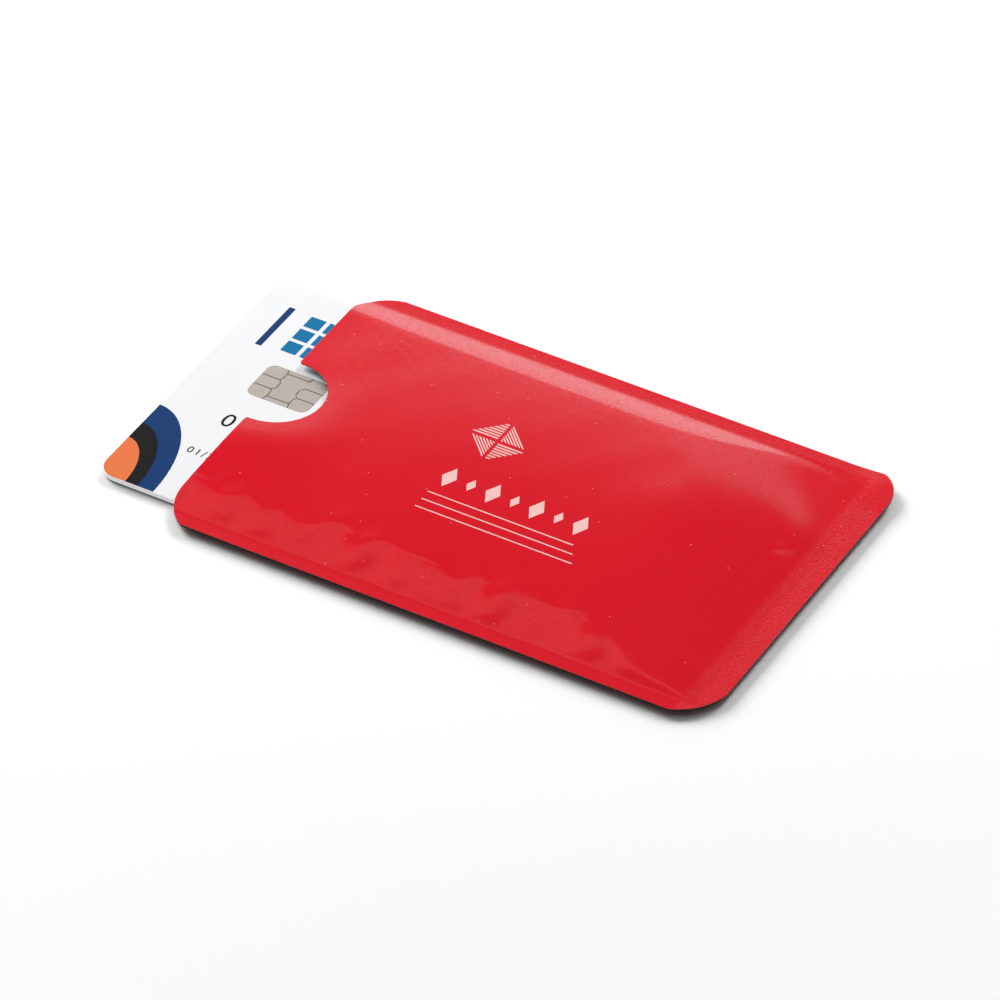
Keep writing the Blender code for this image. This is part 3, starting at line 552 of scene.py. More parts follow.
def trimmed_net(points, triangles):
    """The net with only the points that it uses, and each triangle turned anticlockwise."""
    used = np.unique(triangles)
    triangles = np.searchsorted(used, triangles)
    points = points[used]
    a, b, c = (points[triangles[:, k]] for k in range(3))
    turned = (b - a)[:, 0] * (c - a)[:, 1] < (b - a)[:, 1] * (c - a)[:, 0]
    triangles[turned] = triangles[turned][:, ::-1]
    return points, triangles


def slab(name, net, low, high):
    """A closed sheet on a flat net between two heights, with walls along the net's open sides."""
    points, triangles = net
    total = len(points)
    sides = np.concatenate((triangles[:, [0, 1]], triangles[:, [1, 2]], triangles[:, [2, 0]]))
    open_sides = sides[~np.isin(sides @ (total, 1), sides @ (1, total))]
    first, last = open_sides.T
    lower = np.stack((first, last, last + total), axis=1)
    upper = np.stack((first, last + total, first + total), axis=1)
    heights = np.concatenate((np.broadcast_to(low, total), np.broadcast_to(high, total)))
    vertices = np.column_stack((np.tile(points, (2, 1)), heights))
    faces = np.concatenate((triangles[:, ::-1], triangles + total, lower, upper))
    return new_mesh(name, vertices, faces)


def new_mesh(name, vertices, faces, sharp_angle=math.radians(35)):
    """A piece at the origin from arrays of points and faces, smooth but for its sharp edges."""
    mesh = bpy.data.meshes.new(name)
    mesh.from_pydata(vertices.tolist(), [], faces.tolist())
    mesh.shade_smooth()
    mesh.set_sharp_from_angle(angle=sharp_angle)
    piece = bpy.data.objects.new(name, mesh)
    bpy.context.scene.collection.objects.link(piece)
    return piece


def dress(piece, body, made_of, replaced=None):
    """Gives a new piece its finish and its body, and lets it replace a node if one is named."""
    piece.data.materials.append(made_of)
    if replaced:
        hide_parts(replaced)
    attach(piece, body)
    return piece


def dress_walls(piece, made_of):
    """Gives the faces that stand upright, where the die has cut, a finish of their own."""
    mesh = piece.data
    normals = np.zeros(len(mesh.polygons) * 3)
    mesh.polygons.foreach_get("normal", normals)
    mesh.materials.append(made_of)
    mesh.polygons.foreach_set("material_index", (np.abs(normals[2::3]) < UPRIGHT).astype(int))


def finish_nodes(made_of, *names):
    """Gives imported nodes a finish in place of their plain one."""
    for name in names:
        NODES[name].data.materials.clear()
        NODES[name].data.materials.append(made_of)


def give_attribute(piece, name, values):
    """Stores a number for each point of the net, below and above, under the name a finish reads."""
    attribute = piece.data.attributes.new(name, "FLOAT", "POINT")
    attribute.data.foreach_set("value", np.tile(values, 2).astype(np.float32))


# Finishes

# The Mix node's sockets for colours: what goes in, and what comes out
SHARE, FIRST, SECOND = 0, 6, 7
MIXED = 2


def wire(node, sockets):
    """Sets each socket to its value, or links it to the socket or node given in place of one.

    A node stands for its first output, and a colour is given without its alpha.
    """
    for key, value in sockets.items():
        socket = node.inputs[key]
        if isinstance(value, bpy.types.Node):
            value = value.outputs[0]
        if isinstance(value, bpy.types.NodeSocket):
            node.id_data.links.new(value, socket)
        else:
            socket.default_value = (*value, 1) if socket.type == "RGBA" else value


def add(tree, kind, sockets=None, **settings):
    """Adds a shader node of this kind, with its settings and sockets."""
    made = tree.nodes.new("ShaderNode" + kind)
    for name, value in settings.items():
        setattr(made, name, value)
    wire(made, sockets or {})
    return made


def finish(name):
    """Marks a function that fills in the finish of this name, which is made once and then found."""

    def decorate(fill):
        def find():
            made = bpy.data.materials.get(name)
            if made:
                return made
            made = bpy.data.materials.new(name)
            made.use_nodes = True
            tree = made.node_tree
            place = add(tree, "TexCoord").outputs["Object"]
            fill(tree, tree.nodes["Principled BSDF"], place, bpy.context.scene.holder_colours)
            return made

        return find

    return decorate


def wave_scale(pitch):
    """The Wave texture's scale for ridges that are this far apart: pi / 10 / pitch."""
    return math.pi / 10 / pitch


# Tilt to the rear, as the normal's Y, at which the film's red is painted deepest, as painted shade,
# and at which it is painted palest, as painted light
PAINTED_SHADE_TILT, PAINTED_LIGHT_TILT = 0.26, -0.15
# Distance between the ribs, and between the pebbles, that the sealing bar leaves
RIB_PITCH = 0.34 * MM
# How much painted shade and light the ribs lay on the film's red, as darker and paler lines taken
# from or added to its paleness, and how much a sealed place adds to its roughness
RIB_PAINTED_SHADING = -0.5
SEAL_ROUGHNESS = 0.06
# Heights of the film's slow waver, of the pebbles and of the ribs
WAVER_HEIGHT = 0.004 * MM
PEBBLE_HEIGHT = 0.018 * MM
RIB_HEIGHT = 0.004 * MM
# Dust: width of a cell that may hold one of the specks, their radius as a share of it, the share of
# cells that hold none, and how much of the red their pale dots cover, dots painted as the specks'
# glints
DUST_CELL = 2.4 * MM
DUST_RADIUS = 0.045
DUST_FREE = 0.95
DUST_GLINT_COVER = 0.4


@finish("Reverse-printed polyester film")
def printed_film(tree, shader, place, colours):
    """Clear gloss film over red ink on foil: a hard shine on an even red.

    The red is painted paler where the film tips to the front and deeper where it tips to the rear,
    as painted light and shade. Heat sealing leaves pebbled, duller bands on the welds and fine ribs
    beside them, and the ribs near the side welds are also painted as alternate darker and paler
    lines, as painted shade and light. Shallow pits make the shine uneven, and a few dust specks lie
    on it, painted as pale dots that stand in for their glints.
    """
    seam = add(tree, "Attribute", attribute_name="seam").outputs["Fac"]
    grain = add(tree, "Attribute", attribute_name="grain").outputs["Fac"]
    knurl = {"Vector": place, "Scale": wave_scale(RIB_PITCH), "Distortion": 0.6}
    ribs = add(tree, "TexWave", knurl).outputs["Fac"]
    ribs = add(tree, "Math", {0: ribs, 1: 0.5}, operation="SUBTRACT")
    ribs = add(tree, "Math", {0: ribs, 1: seam}, operation="MULTIPLY")

    # Painted light and shade: the red goes paler where the film tips to the front and deeper where
    # it tips to the rear
    normal = add(tree, "TexCoord").outputs["Normal"]
    tilt = add(tree, "SeparateXYZ", {0: normal}).outputs["Y"]
    pale = add(tree, "MapRange", {"Value": tilt, "From Min": PAINTED_SHADE_TILT, "From Max": PAINTED_LIGHT_TILT})
    # The ribs near the side welds paint alternate darker and paler lines into the red, as painted
    # shade and light
    pale = add(tree, "Math", {0: ribs, 1: RIB_PAINTED_SHADING, 2: pale}, operation="MULTIPLY_ADD")
    tones = {SHARE: pale, FIRST: colours.film, SECOND: colours.film_painted_light}
    red = add(tree, "Mix", tones, data_type="RGBA").outputs[MIXED]

    # Dust specks: real dust, painted as pale dots that stand in for their glints
    cells = {"Vector": place, "Scale": 1 / DUST_CELL}
    dust = add(tree, "TexVoronoi", cells, voronoi_dimensions="2D")
    chance = add(tree, "SeparateColor", {0: dust.outputs["Color"]})
    near = add(tree, "Math", {0: dust.outputs["Distance"], 1: DUST_RADIUS}, operation="LESS_THAN")
    held = add(tree, "Math", {0: chance, 1: DUST_FREE}, operation="GREATER_THAN")
    dust_and_glint = add(tree, "Math", {0: near, 1: held}, operation="MULTIPLY")
    dust_and_glint = add(tree, "Math", {0: dust_and_glint, 1: DUST_GLINT_COVER}, operation="MULTIPLY")
    tones = {SHARE: dust_and_glint, FIRST: red, SECOND: colours.film_print}
    flecked = add(tree, "Mix", tones, data_type="RGBA").outputs[MIXED]

    pits = add(tree, "TexNoise", {"Vector": place, "Scale": 1 / (0.3 * MM), "Detail": 2})
    span = {"Value": pits, "From Min": 0.35, "From Max": 0.65, "To Min": 0.25, "To Max": 0.75}
    shine = add(tree, "MapRange", span)
    smear = add(tree, "TexNoise", {"Vector": place, "Scale": 1 / (16 * MM), "Detail": 4})
    rough = add(tree, "MapRange", {"Value": smear, "To Min": 0.05, "To Max": 0.1})
    rough = add(tree, "Math", {0: grain, 1: SEAL_ROUGHNESS, 2: rough}, operation="MULTIPLY_ADD")

    pebbles = add(tree, "TexVoronoi", {"Vector": place, "Scale": 1 / RIB_PITCH})
    pebbles = add(tree, "Math", {0: pebbles, 1: grain}, operation="MULTIPLY")
    waver = add(tree, "TexNoise", {"Vector": place, "Scale": 1 / (3.2 * MM), "Detail": 2})
    height = add(tree, "Math", {0: waver, 1: WAVER_HEIGHT}, operation="MULTIPLY")
    for marks, rise in ((pebbles, PEBBLE_HEIGHT), (ribs, RIB_HEIGHT)):
        height = add(tree, "Math", {0: marks, 1: rise, 2: height}, operation="MULTIPLY_ADD")
    relief = add(tree, "Bump", {"Height": height, "Distance": 1})

    looks = {"Base Color": flecked, "Roughness": rough, "IOR": 1.5, "Specular IOR Level": shine}
    wire(shader, {**looks, "Normal": relief})


@finish("Rolled aluminium foil")
def rolled_foil(tree, shader, place, colours):
    """Bright foil: fine roll marks along the web draw its reflections out."""
    along = add(tree, "Mapping", {"Vector": place, "Scale": (1, 40, 1)})
    marks = add(tree, "TexNoise", {"Vector": along, "Scale": 1 / (8 * MM), "Detail": 4})
    rough = add(tree, "MapRange", {"Value": marks, "To Min": 0.2, "To Max": 0.4})
    wire(shader, {"Base Color": colours.foil, "Metallic": 1, "Roughness": rough})


@finish("Cast polypropylene liner")
def seal_liner(tree, shader, place, colours):
    """Thin cast plastic that lets the foil's grey through: satin, with a faint haze."""
    haze = add(tree, "TexNoise", {"Vector": place, "Scale": 1 / (5 * MM), "Detail": 3})
    tones = {SHARE: haze, FIRST: colours.liner, SECOND: colours.foil}
    tone = add(tree, "Mix", tones, data_type="RGBA").outputs[MIXED]
    wire(shader, {"Base Color": tone, "Metallic": 0.35, "Roughness": 0.38})


@finish("Fused polypropylene")
def fused_liner(tree, shader, place, colours):
    """Liner melted in the seal: a dull grey bead, pressed with the sealing bar's knurl."""
    knurl = add(tree, "TexWave", {"Vector": place, "Scale": wave_scale(RIB_PITCH)})
    ribs = knurl.outputs["Fac"]
    relief = add(tree, "Bump", {"Height": ribs, "Distance": 0.01 * MM})
    tones = {SHARE: ribs, FIRST: colours.liner, SECOND: colours.weld}
    tone = add(tree, "Mix", tones, data_type="RGBA").outputs[MIXED]
    wire(shader, {"Base Color": tone, "Roughness": 0.5, "Normal": relief})


@finish("Die-cut edge of the laminate")
def painted_shade_cut_edge(tree, shader, place, colours):
    """Film, foil and liner at the die's cut: painted shade, a dull, nearly black line of two dark
    greys mixed by noise.
    """
    smear = add(tree, "TexNoise", {"Vector": place, "Scale": 1 / (0.6 * MM), "Detail": 2})
    tones = {SHARE: smear, FIRST: colours.cut, SECOND: colours.black}
    tone = add(tree, "Mix", tones, data_type="RGBA").outputs[MIXED]
    wire(shader, {"Base Color": tone, "Roughness": 0.6})


@finish("Die-cut edge of the clear film")
def cut_film(tree, shader, place, colours):
    """The top film's own cut edge: a hair-thin pale line mixed by noise with the near black that is
    painted on the cut edges as their shade.
    """
    nicks = add(tree, "TexNoise", {"Vector": place, "Scale": 1 / (1.5 * MM), "Detail": 3})
    tones = {SHARE: nicks, FIRST: colours.film_print, SECOND: colours.cut}
    tone = add(tree, "Mix", tones, data_type="RGBA").outputs[MIXED]
    wire(shader, {"Base Color": tone, "Roughness": 0.5})


# Strength of the painted light that makes the punched edges of the card's white sheets glow white
EDGE_PAINTED_GLOW = 0.55


def painted_edge_glow(tree):
    """The painted glow's strength on upright faces, where the card is punched, and 0 elsewhere."""
    normal = add(tree, "TexCoord").outputs["Normal"]
    lying = add(tree, "SeparateXYZ", {0: normal}).outputs["Z"]
    lying = add(tree, "Math", {0: lying}, operation="ABSOLUTE")
    upright = add(tree, "Math", {0: lying, 1: UPRIGHT}, operation="LESS_THAN")
    return add(tree, "Math", {0: upright, 1: EDGE_PAINTED_GLOW}, operation="MULTIPLY")


@finish("Laminated PVC overlay")
def card_overlay(tree, shader, place, colours):
    """Pressed card face: clear gloss on white, with the faint peel of the laminating plate."""
    cloud = add(tree, "TexNoise", {"Vector": place, "Scale": 1 / (12 * MM), "Detail": 2})
    tones = {SHARE: cloud, FIRST: colours.card, SECOND: colours.core}
    tone = add(tree, "Mix", tones, data_type="RGBA").outputs[MIXED]
    peel = add(tree, "TexNoise", {"Vector": place, "Scale": 1 / (1.1 * MM), "Detail": 2})
    relief = add(tree, "Bump", {"Height": peel, "Distance": 0.002 * MM})
    wire(shader, {"Base Color": tone, "Roughness": 0.14, "IOR": 1.5, "Normal": relief})
    # Painted light: the card's punched edges glow
    wire(shader, {"Emission Color": colours.card, "Emission Strength": painted_edge_glow(tree)})


@finish("Calendered PVC core")
def card_core(tree, shader, place, colours):
    """White core stock, seen at the punched edge: dull, with the burr lines of the punch."""
    punched = add(tree, "Mapping", {"Vector": place, "Scale": (12, 12, 1)})
    burr = add(tree, "TexNoise", {"Vector": punched, "Scale": 1 / (4 * MM)})
    tones = {SHARE: burr, FIRST: colours.core, SECOND: colours.card}
    tone = add(tree, "Mix", tones, data_type="RGBA").outputs[MIXED]
    wire(shader, {"Base Color": tone, "Roughness": 0.5})
    # Painted light: the card's punched edges glow
    wire(shader, {"Emission Color": colours.card, "Emission Strength": painted_edge_glow(tree)})


@finish("Magnetic tape")
def magnetic_tape(tree, shader, place, colours):
    """Iron-oxide coating: brown-black and satin, with fine lines along the tape."""
    along = add(tree, "Mapping", {"Vector": place, "Scale": (0.05, 1, 1)})
    coat = add(tree, "TexNoise", {"Vector": along, "Scale": 1 / (0.4 * MM), "Detail": 3})
    tones = {SHARE: coat, FIRST: colours.black, SECOND: colours.oxide}
    tone = add(tree, "Mix", tones, data_type="RGBA").outputs[MIXED]
    wire(shader, {"Base Color": tone, "Roughness": 0.34})


@finish("Signature paper")
def signature_paper(tree, shader, place, colours):
    """Matt absorbent strip with a pale diagonal safety pattern of fine lines."""
    slant = add(tree, "Mapping", {"Vector": place, "Rotation": (0, 0, math.radians(35))})
    rules = add(tree, "TexWave", {"Vector": slant, "Scale": wave_scale(0.9 * MM)})
    tones = {SHARE: rules.outputs["Fac"], FIRST: colours.paper, SECOND: colours.paper_rule}
    tone = add(tree, "Mix", tones, data_type="RGBA").outputs[MIXED]
    wire(shader, {"Base Color": tone, "Roughness": 0.85})


@finish("Etched copper")
def etched_copper(tree, shader, place, colours):
    """Bare etched copper track: warm metal, slightly tarnished in patches."""
    patches = add(tree, "TexNoise", {"Vector": place, "Scale": 1 / (2 * MM), "Detail": 4})
    tones = {SHARE: patches, FIRST: colours.copper, SECOND: colours.tarnish}
    tone = add(tree, "Mix", tones, data_type="RGBA").outputs[MIXED]
    wire(shader, {"Base Color": tone, "Metallic": 1, "Roughness": 0.35})


@finish("Glass-epoxy tape")
def glass_epoxy(tree, shader, place, colours):
    """Woven glass in epoxy: dark olive, with the weave's crossed threads just showing."""
    weave = add(tree, "TexChecker", {"Vector": place, "Scale": 1 / (0.12 * MM)})
    tones = {SHARE: weave.outputs["Fac"], FIRST: colours.epoxy, SECOND: colours.glass}
    tone = add(tree, "Mix", tones, data_type="RGBA").outputs[MIXED]
    wire(shader, {"Base Color": tone, "Roughness": 0.45})


@finish("Nickel and pale gold plating")
def contact_plating(tree, shader, place, colours):
    """Plated contacts: satin, warm grey metal with fine draw lines and wiping marks along X."""
    along = add(tree, "Mapping", {"Vector": place, "Scale": (0.06, 1, 1)})
    drawn = add(tree, "TexNoise", {"Vector": along, "Scale": 1 / (0.16 * MM), "Detail": 3})
    tones = {SHARE: drawn, FIRST: colours.plating, SECOND: colours.plating_pale}
    tone = add(tree, "Mix", tones, data_type="RGBA").outputs[MIXED]
    relief = add(tree, "Bump", {"Height": drawn, "Distance": 0.002 * MM})
    wire(shader, {"Base Color": tone, "Metallic": 0.85, "Roughness": 0.34, "Normal": relief})


@finish("Polished silicon")
def silicon(tree, shader, place, colours):
    """The die: a dark mirror with the grid of its circuit blocks."""
    blocks = add(tree, "TexBrick", {"Vector": place, "Scale": 1 / (0.5 * MM)})
    tones = {SHARE: blocks.outputs["Fac"], FIRST: colours.silicon, SECOND: colours.black}
    tone = add(tree, "Mix", tones, data_type="RGBA").outputs[MIXED]
    wire(shader, {"Base Color": tone, "Metallic": 0.6, "Roughness": 0.15})


@finish("Potting resin")
def potting_resin(tree, shader, place, colours):
    """Black epoxy drop: smooth, slightly uneven where it set."""
    flow = add(tree, "TexNoise", {"Vector": place, "Scale": 1 / (1.5 * MM), "Detail": 2})
    relief = add(tree, "Bump", {"Height": flow, "Distance": 0.01 * MM})
    wire(shader, {"Base Color": colours.black, "Roughness": 0.3, "Normal": relief})


def ink(name, colour):
    """Printing ink of one colour: satin, and up to a tenth deeper where more of it was laid."""

    @finish(name)
    def printed(tree, shader, place, _):
        spread = add(tree, "TexNoise", {"Vector": place, "Scale": 1 / (0.8 * MM), "Detail": 3})
        rough = add(tree, "MapRange", {"Value": spread, "To Min": 0.12, "To Max": 0.2})
        tones = {SHARE: spread, FIRST: colour, SECOND: 0.9 * np.array(colour)}
        tone = add(tree, "Mix", tones, data_type="RGBA").outputs[MIXED]
        wire(shader, {"Base Color": tone, "Roughness": rough, "IOR": 1.35})

    return printed()


# Sleeve


def sleeve_net(shape, die):
    """The net that all layers of the sleeve share, finer where its panels slope and bend."""
    inner = POCKET_HALF_WIDTH - shape.front_crest
    end = (POCKET_END - shape.end_slope, POCKET_END, STEP_FINE)
    front = (-POCKET_HALF_WIDTH, -inner, STEP_FINE)
    rear = (POCKET_HALF_WIDTH - shape.rear_crest, POCKET_HALF_WIDTH, STEP_FINE)
    xs = lines(-HALF_LENGTH, HALF_LENGTH, STEP_ALONG, end)
    ys = lines(-HALF_WIDTH, HALF_WIDTH, STEP_ACROSS, front, rear)
    return flat_net([die_outline(die)], xs, ys)


def lay_panel(side):
    """Lays one panel's liner, foil and film, each offset from the weld by what lies under it."""
    shape = bpy.context.scene.holder_shape
    die = bpy.context.scene.holder_die
    net = sleeve_net(shape, die)
    x, y = net[0].T
    lift = SEAM_HEIGHT + curl(x, y, shape)
    facing = 1 if side == "front" else -1
    rise = front_rise(x, y, shape, die) if side == "front" else back_rise(x, y, shape)
    near = seal_half(shape) + rise
    layers = (
        ("liner", shape.liner, seal_liner, "seal_liner"),
        ("foil", shape.foil, rolled_foil, "shield_foil"),
        ("film", shape.film, printed_film, "printed_film"),
    )
    for layer, thickness, made_of, slot in layers:
        heights = lift + facing * near, lift + facing * (near + thickness)
        piece = slab(f"sleeve_{side}_{layer}", net, *sorted(heights, key=np.sum))
        if layer == "film":
            give_attribute(piece, "seam", seam_closeness(x, y))
            give_attribute(piece, "grain", sealed(x, y))
        dress(piece, "sleeve", made_of(), f"{side}_{layer}")
        top = side == "front" and layer == "film"
        # The cut walls get the near black painted as their shade, with a pale line on the top
        # film's walls
        dress_walls(piece, cut_film() if top else painted_shade_cut_edge())
        near = near + thickness + shape.bond


# How far in from the side welds the ribs reach
SEAM_REACH = 2 * MM
# How far in from the end weld, and from the side welds, the pebbles begin, and the runs they take
END_SEAL_LEAD, END_SEAL_RUN = 3.4 * MM, 1.6 * MM
SIDE_SEAL_LEAD, SIDE_SEAL_RUN = 0.2 * MM, 0.4 * MM
# The share of the pebbles that the front weld has
FRONT_SEAL = 0.1


def seam_closeness(x, y):
    """1 on each side weld, and exp(-distance / SEAM_REACH) inside it."""
    return np.exp(-np.maximum(POCKET_HALF_WIDTH - np.abs(y), 0) / SEAM_REACH)


def sealed(x, y):
    """1 on the end and rear welds, which begin softly, and less on the front weld."""
    end = smooth_rise(x - POCKET_END + END_SEAL_LEAD, END_SEAL_RUN)
    side = smooth_rise(np.abs(y) - POCKET_HALF_WIDTH + SIDE_SEAL_LEAD, SIDE_SEAL_RUN)
    return np.maximum(end, side * np.where(y > 0, 1, FRONT_SEAL))


class CARDHOLDER_OT_front_panel(Operator):
    """Lay the front panel's liner, foil and film, crowned over the card and waved at the mouth"""

    bl_idname = "card_holder.front_panel"
    bl_label = "Front panel"

    def execute(self, context):
        lay_panel("front")
        return {"FINISHED"}


class CARDHOLDER_OT_back_panel(Operator):
    """Lay the back panel's liner, foil and film, flat on the table but for its edges"""

    bl_idname = "card_holder.back_panel"
    bl_label = "Back panel"

    def execute(self, context):
        lay_panel("back")
        return {"FINISHED"}


class CARDHOLDER_OT_welds(Operator):
    """Lay the fused beads between the panels: two along the sides and one across the closed end"""

    bl_idname = "card_holder.welds"
    bl_label = "Welds"

    def execute(self, context):
        shape = context.scene.holder_shape
        points, triangles = sleeve_net(shape, context.scene.holder_die)
        x, y = points[triangles].mean(axis=1).T
        places = {
            "rear_side_weld": (y > POCKET_HALF_WIDTH) & (x < POCKET_END - shape.bond),
            "front_side_weld": (y < -POCKET_HALF_WIDTH) & (x < POCKET_END - shape.bond),
            "end_weld": x > POCKET_END,
        }
        for name, place in places.items():
            net = trimmed_net(points, triangles[place])
            middle = SEAM_HEIGHT + curl(*net[0].T, shape)
            piece = slab(f"sleeve_{name}", net, middle - WELD_HALF, middle + WELD_HALF)
            dress(piece, "sleeve", fused_liner(), name)
            # The welds' cut walls get the near black painted as their shade
            dress_walls(piece, painted_shade_cut_edge())
        return {"FINISHED"}


class CARDHOLDER_OT_sleeve_print(Operator):
    """Print the front film: a hatched diamond, a row of small diamonds and thin rules"""

    bl_idname = "card_holder.sleeve_print"
    bl_label = "Sleeve print"

    def execute(self, context):
        scene = context.scene
        shape, prints = scene.holder_shape, scene.holder_prints
        made_of = ink("Pale pink film ink", scene.holder_colours.film_print)
        motifs = {
            "sleeve_print_diamond": hatched_diamond(prints),
            "sleeve_print_row": diamond_row(prints),
            "sleeve_print_rules": thin_rules(prints),
        }
        for name, polygons in motifs.items():
            net = flat_net([divided(polygon, PRINT_STEP) for polygon in polygons])
            base = film_top(*net[0].T, shape, scene.holder_die) + prints.ink_clearance
            piece = slab(name, net, base, base + prints.ink)
            dress(piece, "sleeve", made_of)
        return {"FINISHED"}


def hatched_diamond(prints):
    """Strips that fill a diamond: parallel to its sides in two quarters, else along X.

    Each strip is one gap wide, and starts at its distance s from the middle.
    """
    radius, gap = prints.diamond, prints.hatch
    starts = np.arange(2.5 * gap, radius - gap, 2 * gap)
    polygons = []
    for s in starts:
        nested = np.array(((s - gap, gap), (s, gap), (gap, s), (gap, s - gap)))
        level = np.array(((gap, s - gap), (radius - s + gap, s - gap), (radius - s, s), (gap, s)))
        for polygon, turn in ((nested, 1), (nested, -1), (level, 1), (level, -1)):
            flip = (turn, turn) if polygon is nested else (-turn, turn)
            polygons.append(polygon * flip + tuple(prints.diamond_place))
    return polygons


# The row of small diamonds: how many, half the width and height of one, and the smaller ones' share
ROW_COUNT = 7
ROW_HALF = (1.25 * MM, 2.4 * MM)
ROW_SMALLER = 0.6
# The rules under it: how many, how far they pass the row's ends, and how much longer each one is
RULE_COUNT = 3
RULE_OVERHANG, RULE_GAIN = 1.2 * MM, 1 * MM


def diamond_row(prints):
    """Solid diamonds in a row along X, every second one smaller."""
    corners = np.array(((1, 0), (0, 1), (-1, 0), (0, -1)))
    places = np.linspace(prints.row_start, prints.row_end, ROW_COUNT)
    return [
        corners * ROW_HALF * (1 if k % 2 == 0 else ROW_SMALLER) + (x, prints.row_height)
        for k, x in enumerate(places)
    ]


def thin_rules(prints):
    """Thin rules along X under the row, each a little longer than the last."""
    polygons = []
    for k in range(RULE_COUNT):
        x, y = prints.row_start - RULE_OVERHANG, prints.rule_height - k * prints.rule_pitch
        end = prints.row_end + RULE_OVERHANG + k * RULE_GAIN
        polygons.append(box_outline(x, y, end - x, prints.rule))
    return polygons


# Card


class CARDHOLDER_OT_card_sheets(Operator):
    """Finish the card's five laminated sheets and the strips let into its back"""

    bl_idname = "card_holder.card_sheets"
    bl_label = "Card sheets"

    def execute(self, context):
        finish_nodes(card_overlay(), "card_front_overlay", "card_back_overlay")
        finish_nodes(card_core(), "card_front_sheet", "card_inlay", "card_back_sheet")
        finish_nodes(magnetic_tape(), "magnetic_stripe")
        finish_nodes(signature_paper(), "signature_panel")
        return {"FINISHED"}


class CARDHOLDER_OT_chip(Operator):
    """Finish the chip module and the antenna"""

    bl_idname = "card_holder.chip"
    bl_label = "Chip and antenna"

    def execute(self, context):
        contacts = [name for name in NODES if name.startswith("contact_")]
        finish_nodes(contact_plating(), *contacts)
        finish_nodes(glass_epoxy(), "chip_tape")
        finish_nodes(silicon(), "chip_die")
        finish_nodes(potting_resin(), "chip_encapsulant")
        finish_nodes(etched_copper(), "antenna_coil", "antenna_bridge")
        return {"FINISHED"}


class CARDHOLDER_OT_card_print(Operator):
    """Print the card's face: rings about two corners, squares and a bar, and rows of digits"""

    bl_idname = "card_holder.card_print"
    bl_label = "Card print"

    def execute(self, context):
        colours, prints = context.scene.holder_colours, context.scene.holder_prints
        tones = ("orange", "black", "blue", "teal")
        inks = {tone: ink(f"{tone.title()} card ink", getattr(colours, tone)) for tone in tones}
        low = CARD_TOP + prints.ink_clearance
        pieces = [
            ("corner_disc", "orange", rings(prints, 0)),
            ("inner_ring", "black", rings(prints, 1)),
            ("outer_ring", "blue", rings(prints, 2)),
            ("squares", "teal", squares(prints)),
            ("bar", "blue", [box_outline(*prints.bar_place, *prints.bar_size)]),
        ]
        for name, tone, outlines in pieces:
            net = flat_net([divided(outline, PRINT_STEP) for outline in outlines])
            piece = slab(f"card_print_{name}", net, low, CARD_TOP + prints.ink)
            dress(piece, "card", inks[tone])
        for name, (body, size, place) in DIGIT_ROWS.items():
            net = digit_net(body, size, place)
            piece = slab(f"card_print_{name}", net, low, CARD_TOP + prints.digit_relief)
            dress(piece, "card", inks["black"])
        return {"FINISHED"}


def box_outline(x, y, width, height):
    """The corners of a rectangle, anticlockwise from its lowest one."""
    return np.array(((x, y), (x + width, y), (x + width, y + height), (x, y + height)))


def squares(prints):
    """Two columns of three squares."""
    x, y = prints.square_place
    size, pitch = prints.square, prints.square_pitch
    places = [(x + i * pitch, y + j * pitch) for i in (0, 1) for j in (0, 1, 2)]
    return [box_outline(*place, size, size) for place in places]


# How far the rings keep in from the card's edge, and how many points their outer edges, their inner
# edges and the card's corner have
RING_INSET = 0.06 * MM
OUTER_POINTS, INNER_POINTS, ROUND_POINTS = 40, 30, 12


def rings(prints, k):
    """A quarter of the k-th oval ring at the card's front left corner, and one at the opposite one.

    A ring begins where the one before it ends. The first one is filled, and cut to the card's own
    round corner.
    """
    tall = (1, prints.ring_stretch)
    outer = prints.rings[k]
    start = math.asin(RING_INSET / outer)
    far = arc((0, 0), outer, start, math.pi / 2 - start, OUTER_POINTS) * tall
    if k > 0:
        inner = prints.rings[k - 1]
        start = math.asin(RING_INSET / inner)
        near = arc((0, 0), inner, math.pi / 2 - start, start, INNER_POINTS) * tall
    else:
        radius = CARD_CORNER - RING_INSET
        near = arc((CARD_CORNER, CARD_CORNER), radius, math.pi, 1.5 * math.pi, ROUND_POINTS)
    outline = np.concatenate((far, near))
    middle = (CARD_X, 0)
    corner = (CARD_LOW.x, CARD_LOW.y)
    return [(outline + corner - middle) * sign + middle for sign in (1, -1)]


def digit_net(body, size, place):
    """The net of a row of digits in Blender's own font, whose outlines are filled flat."""
    curve = bpy.data.curves.new("digits", "FONT")
    curve.body = body
    curve.size = size
    curve.space_character = 1.25
    curve.resolution_u = 4
    text = bpy.data.objects.new("digits", curve)
    mesh = bpy.data.meshes.new_from_object(text)
    bpy.data.objects.remove(text)
    mesh.calc_loop_triangles()
    points = np.zeros(len(mesh.vertices) * 3)
    mesh.vertices.foreach_get("co", points)
    triangles = np.zeros(len(mesh.loop_triangles) * 3, int)
    mesh.loop_triangles.foreach_get("vertices", triangles)
    bpy.data.meshes.remove(mesh)
    return trimmed_net(points.reshape(-1, 3)[:, :2] + place, triangles.reshape(-1, 3))


# Studio


def aim(piece, place, target):
    """Places a lamp or camera and points it at the target."""
    piece.location = place
    piece.rotation_euler = (Vector(target) - Vector(place)).to_track_quat("-Z", "Y").to_euler()


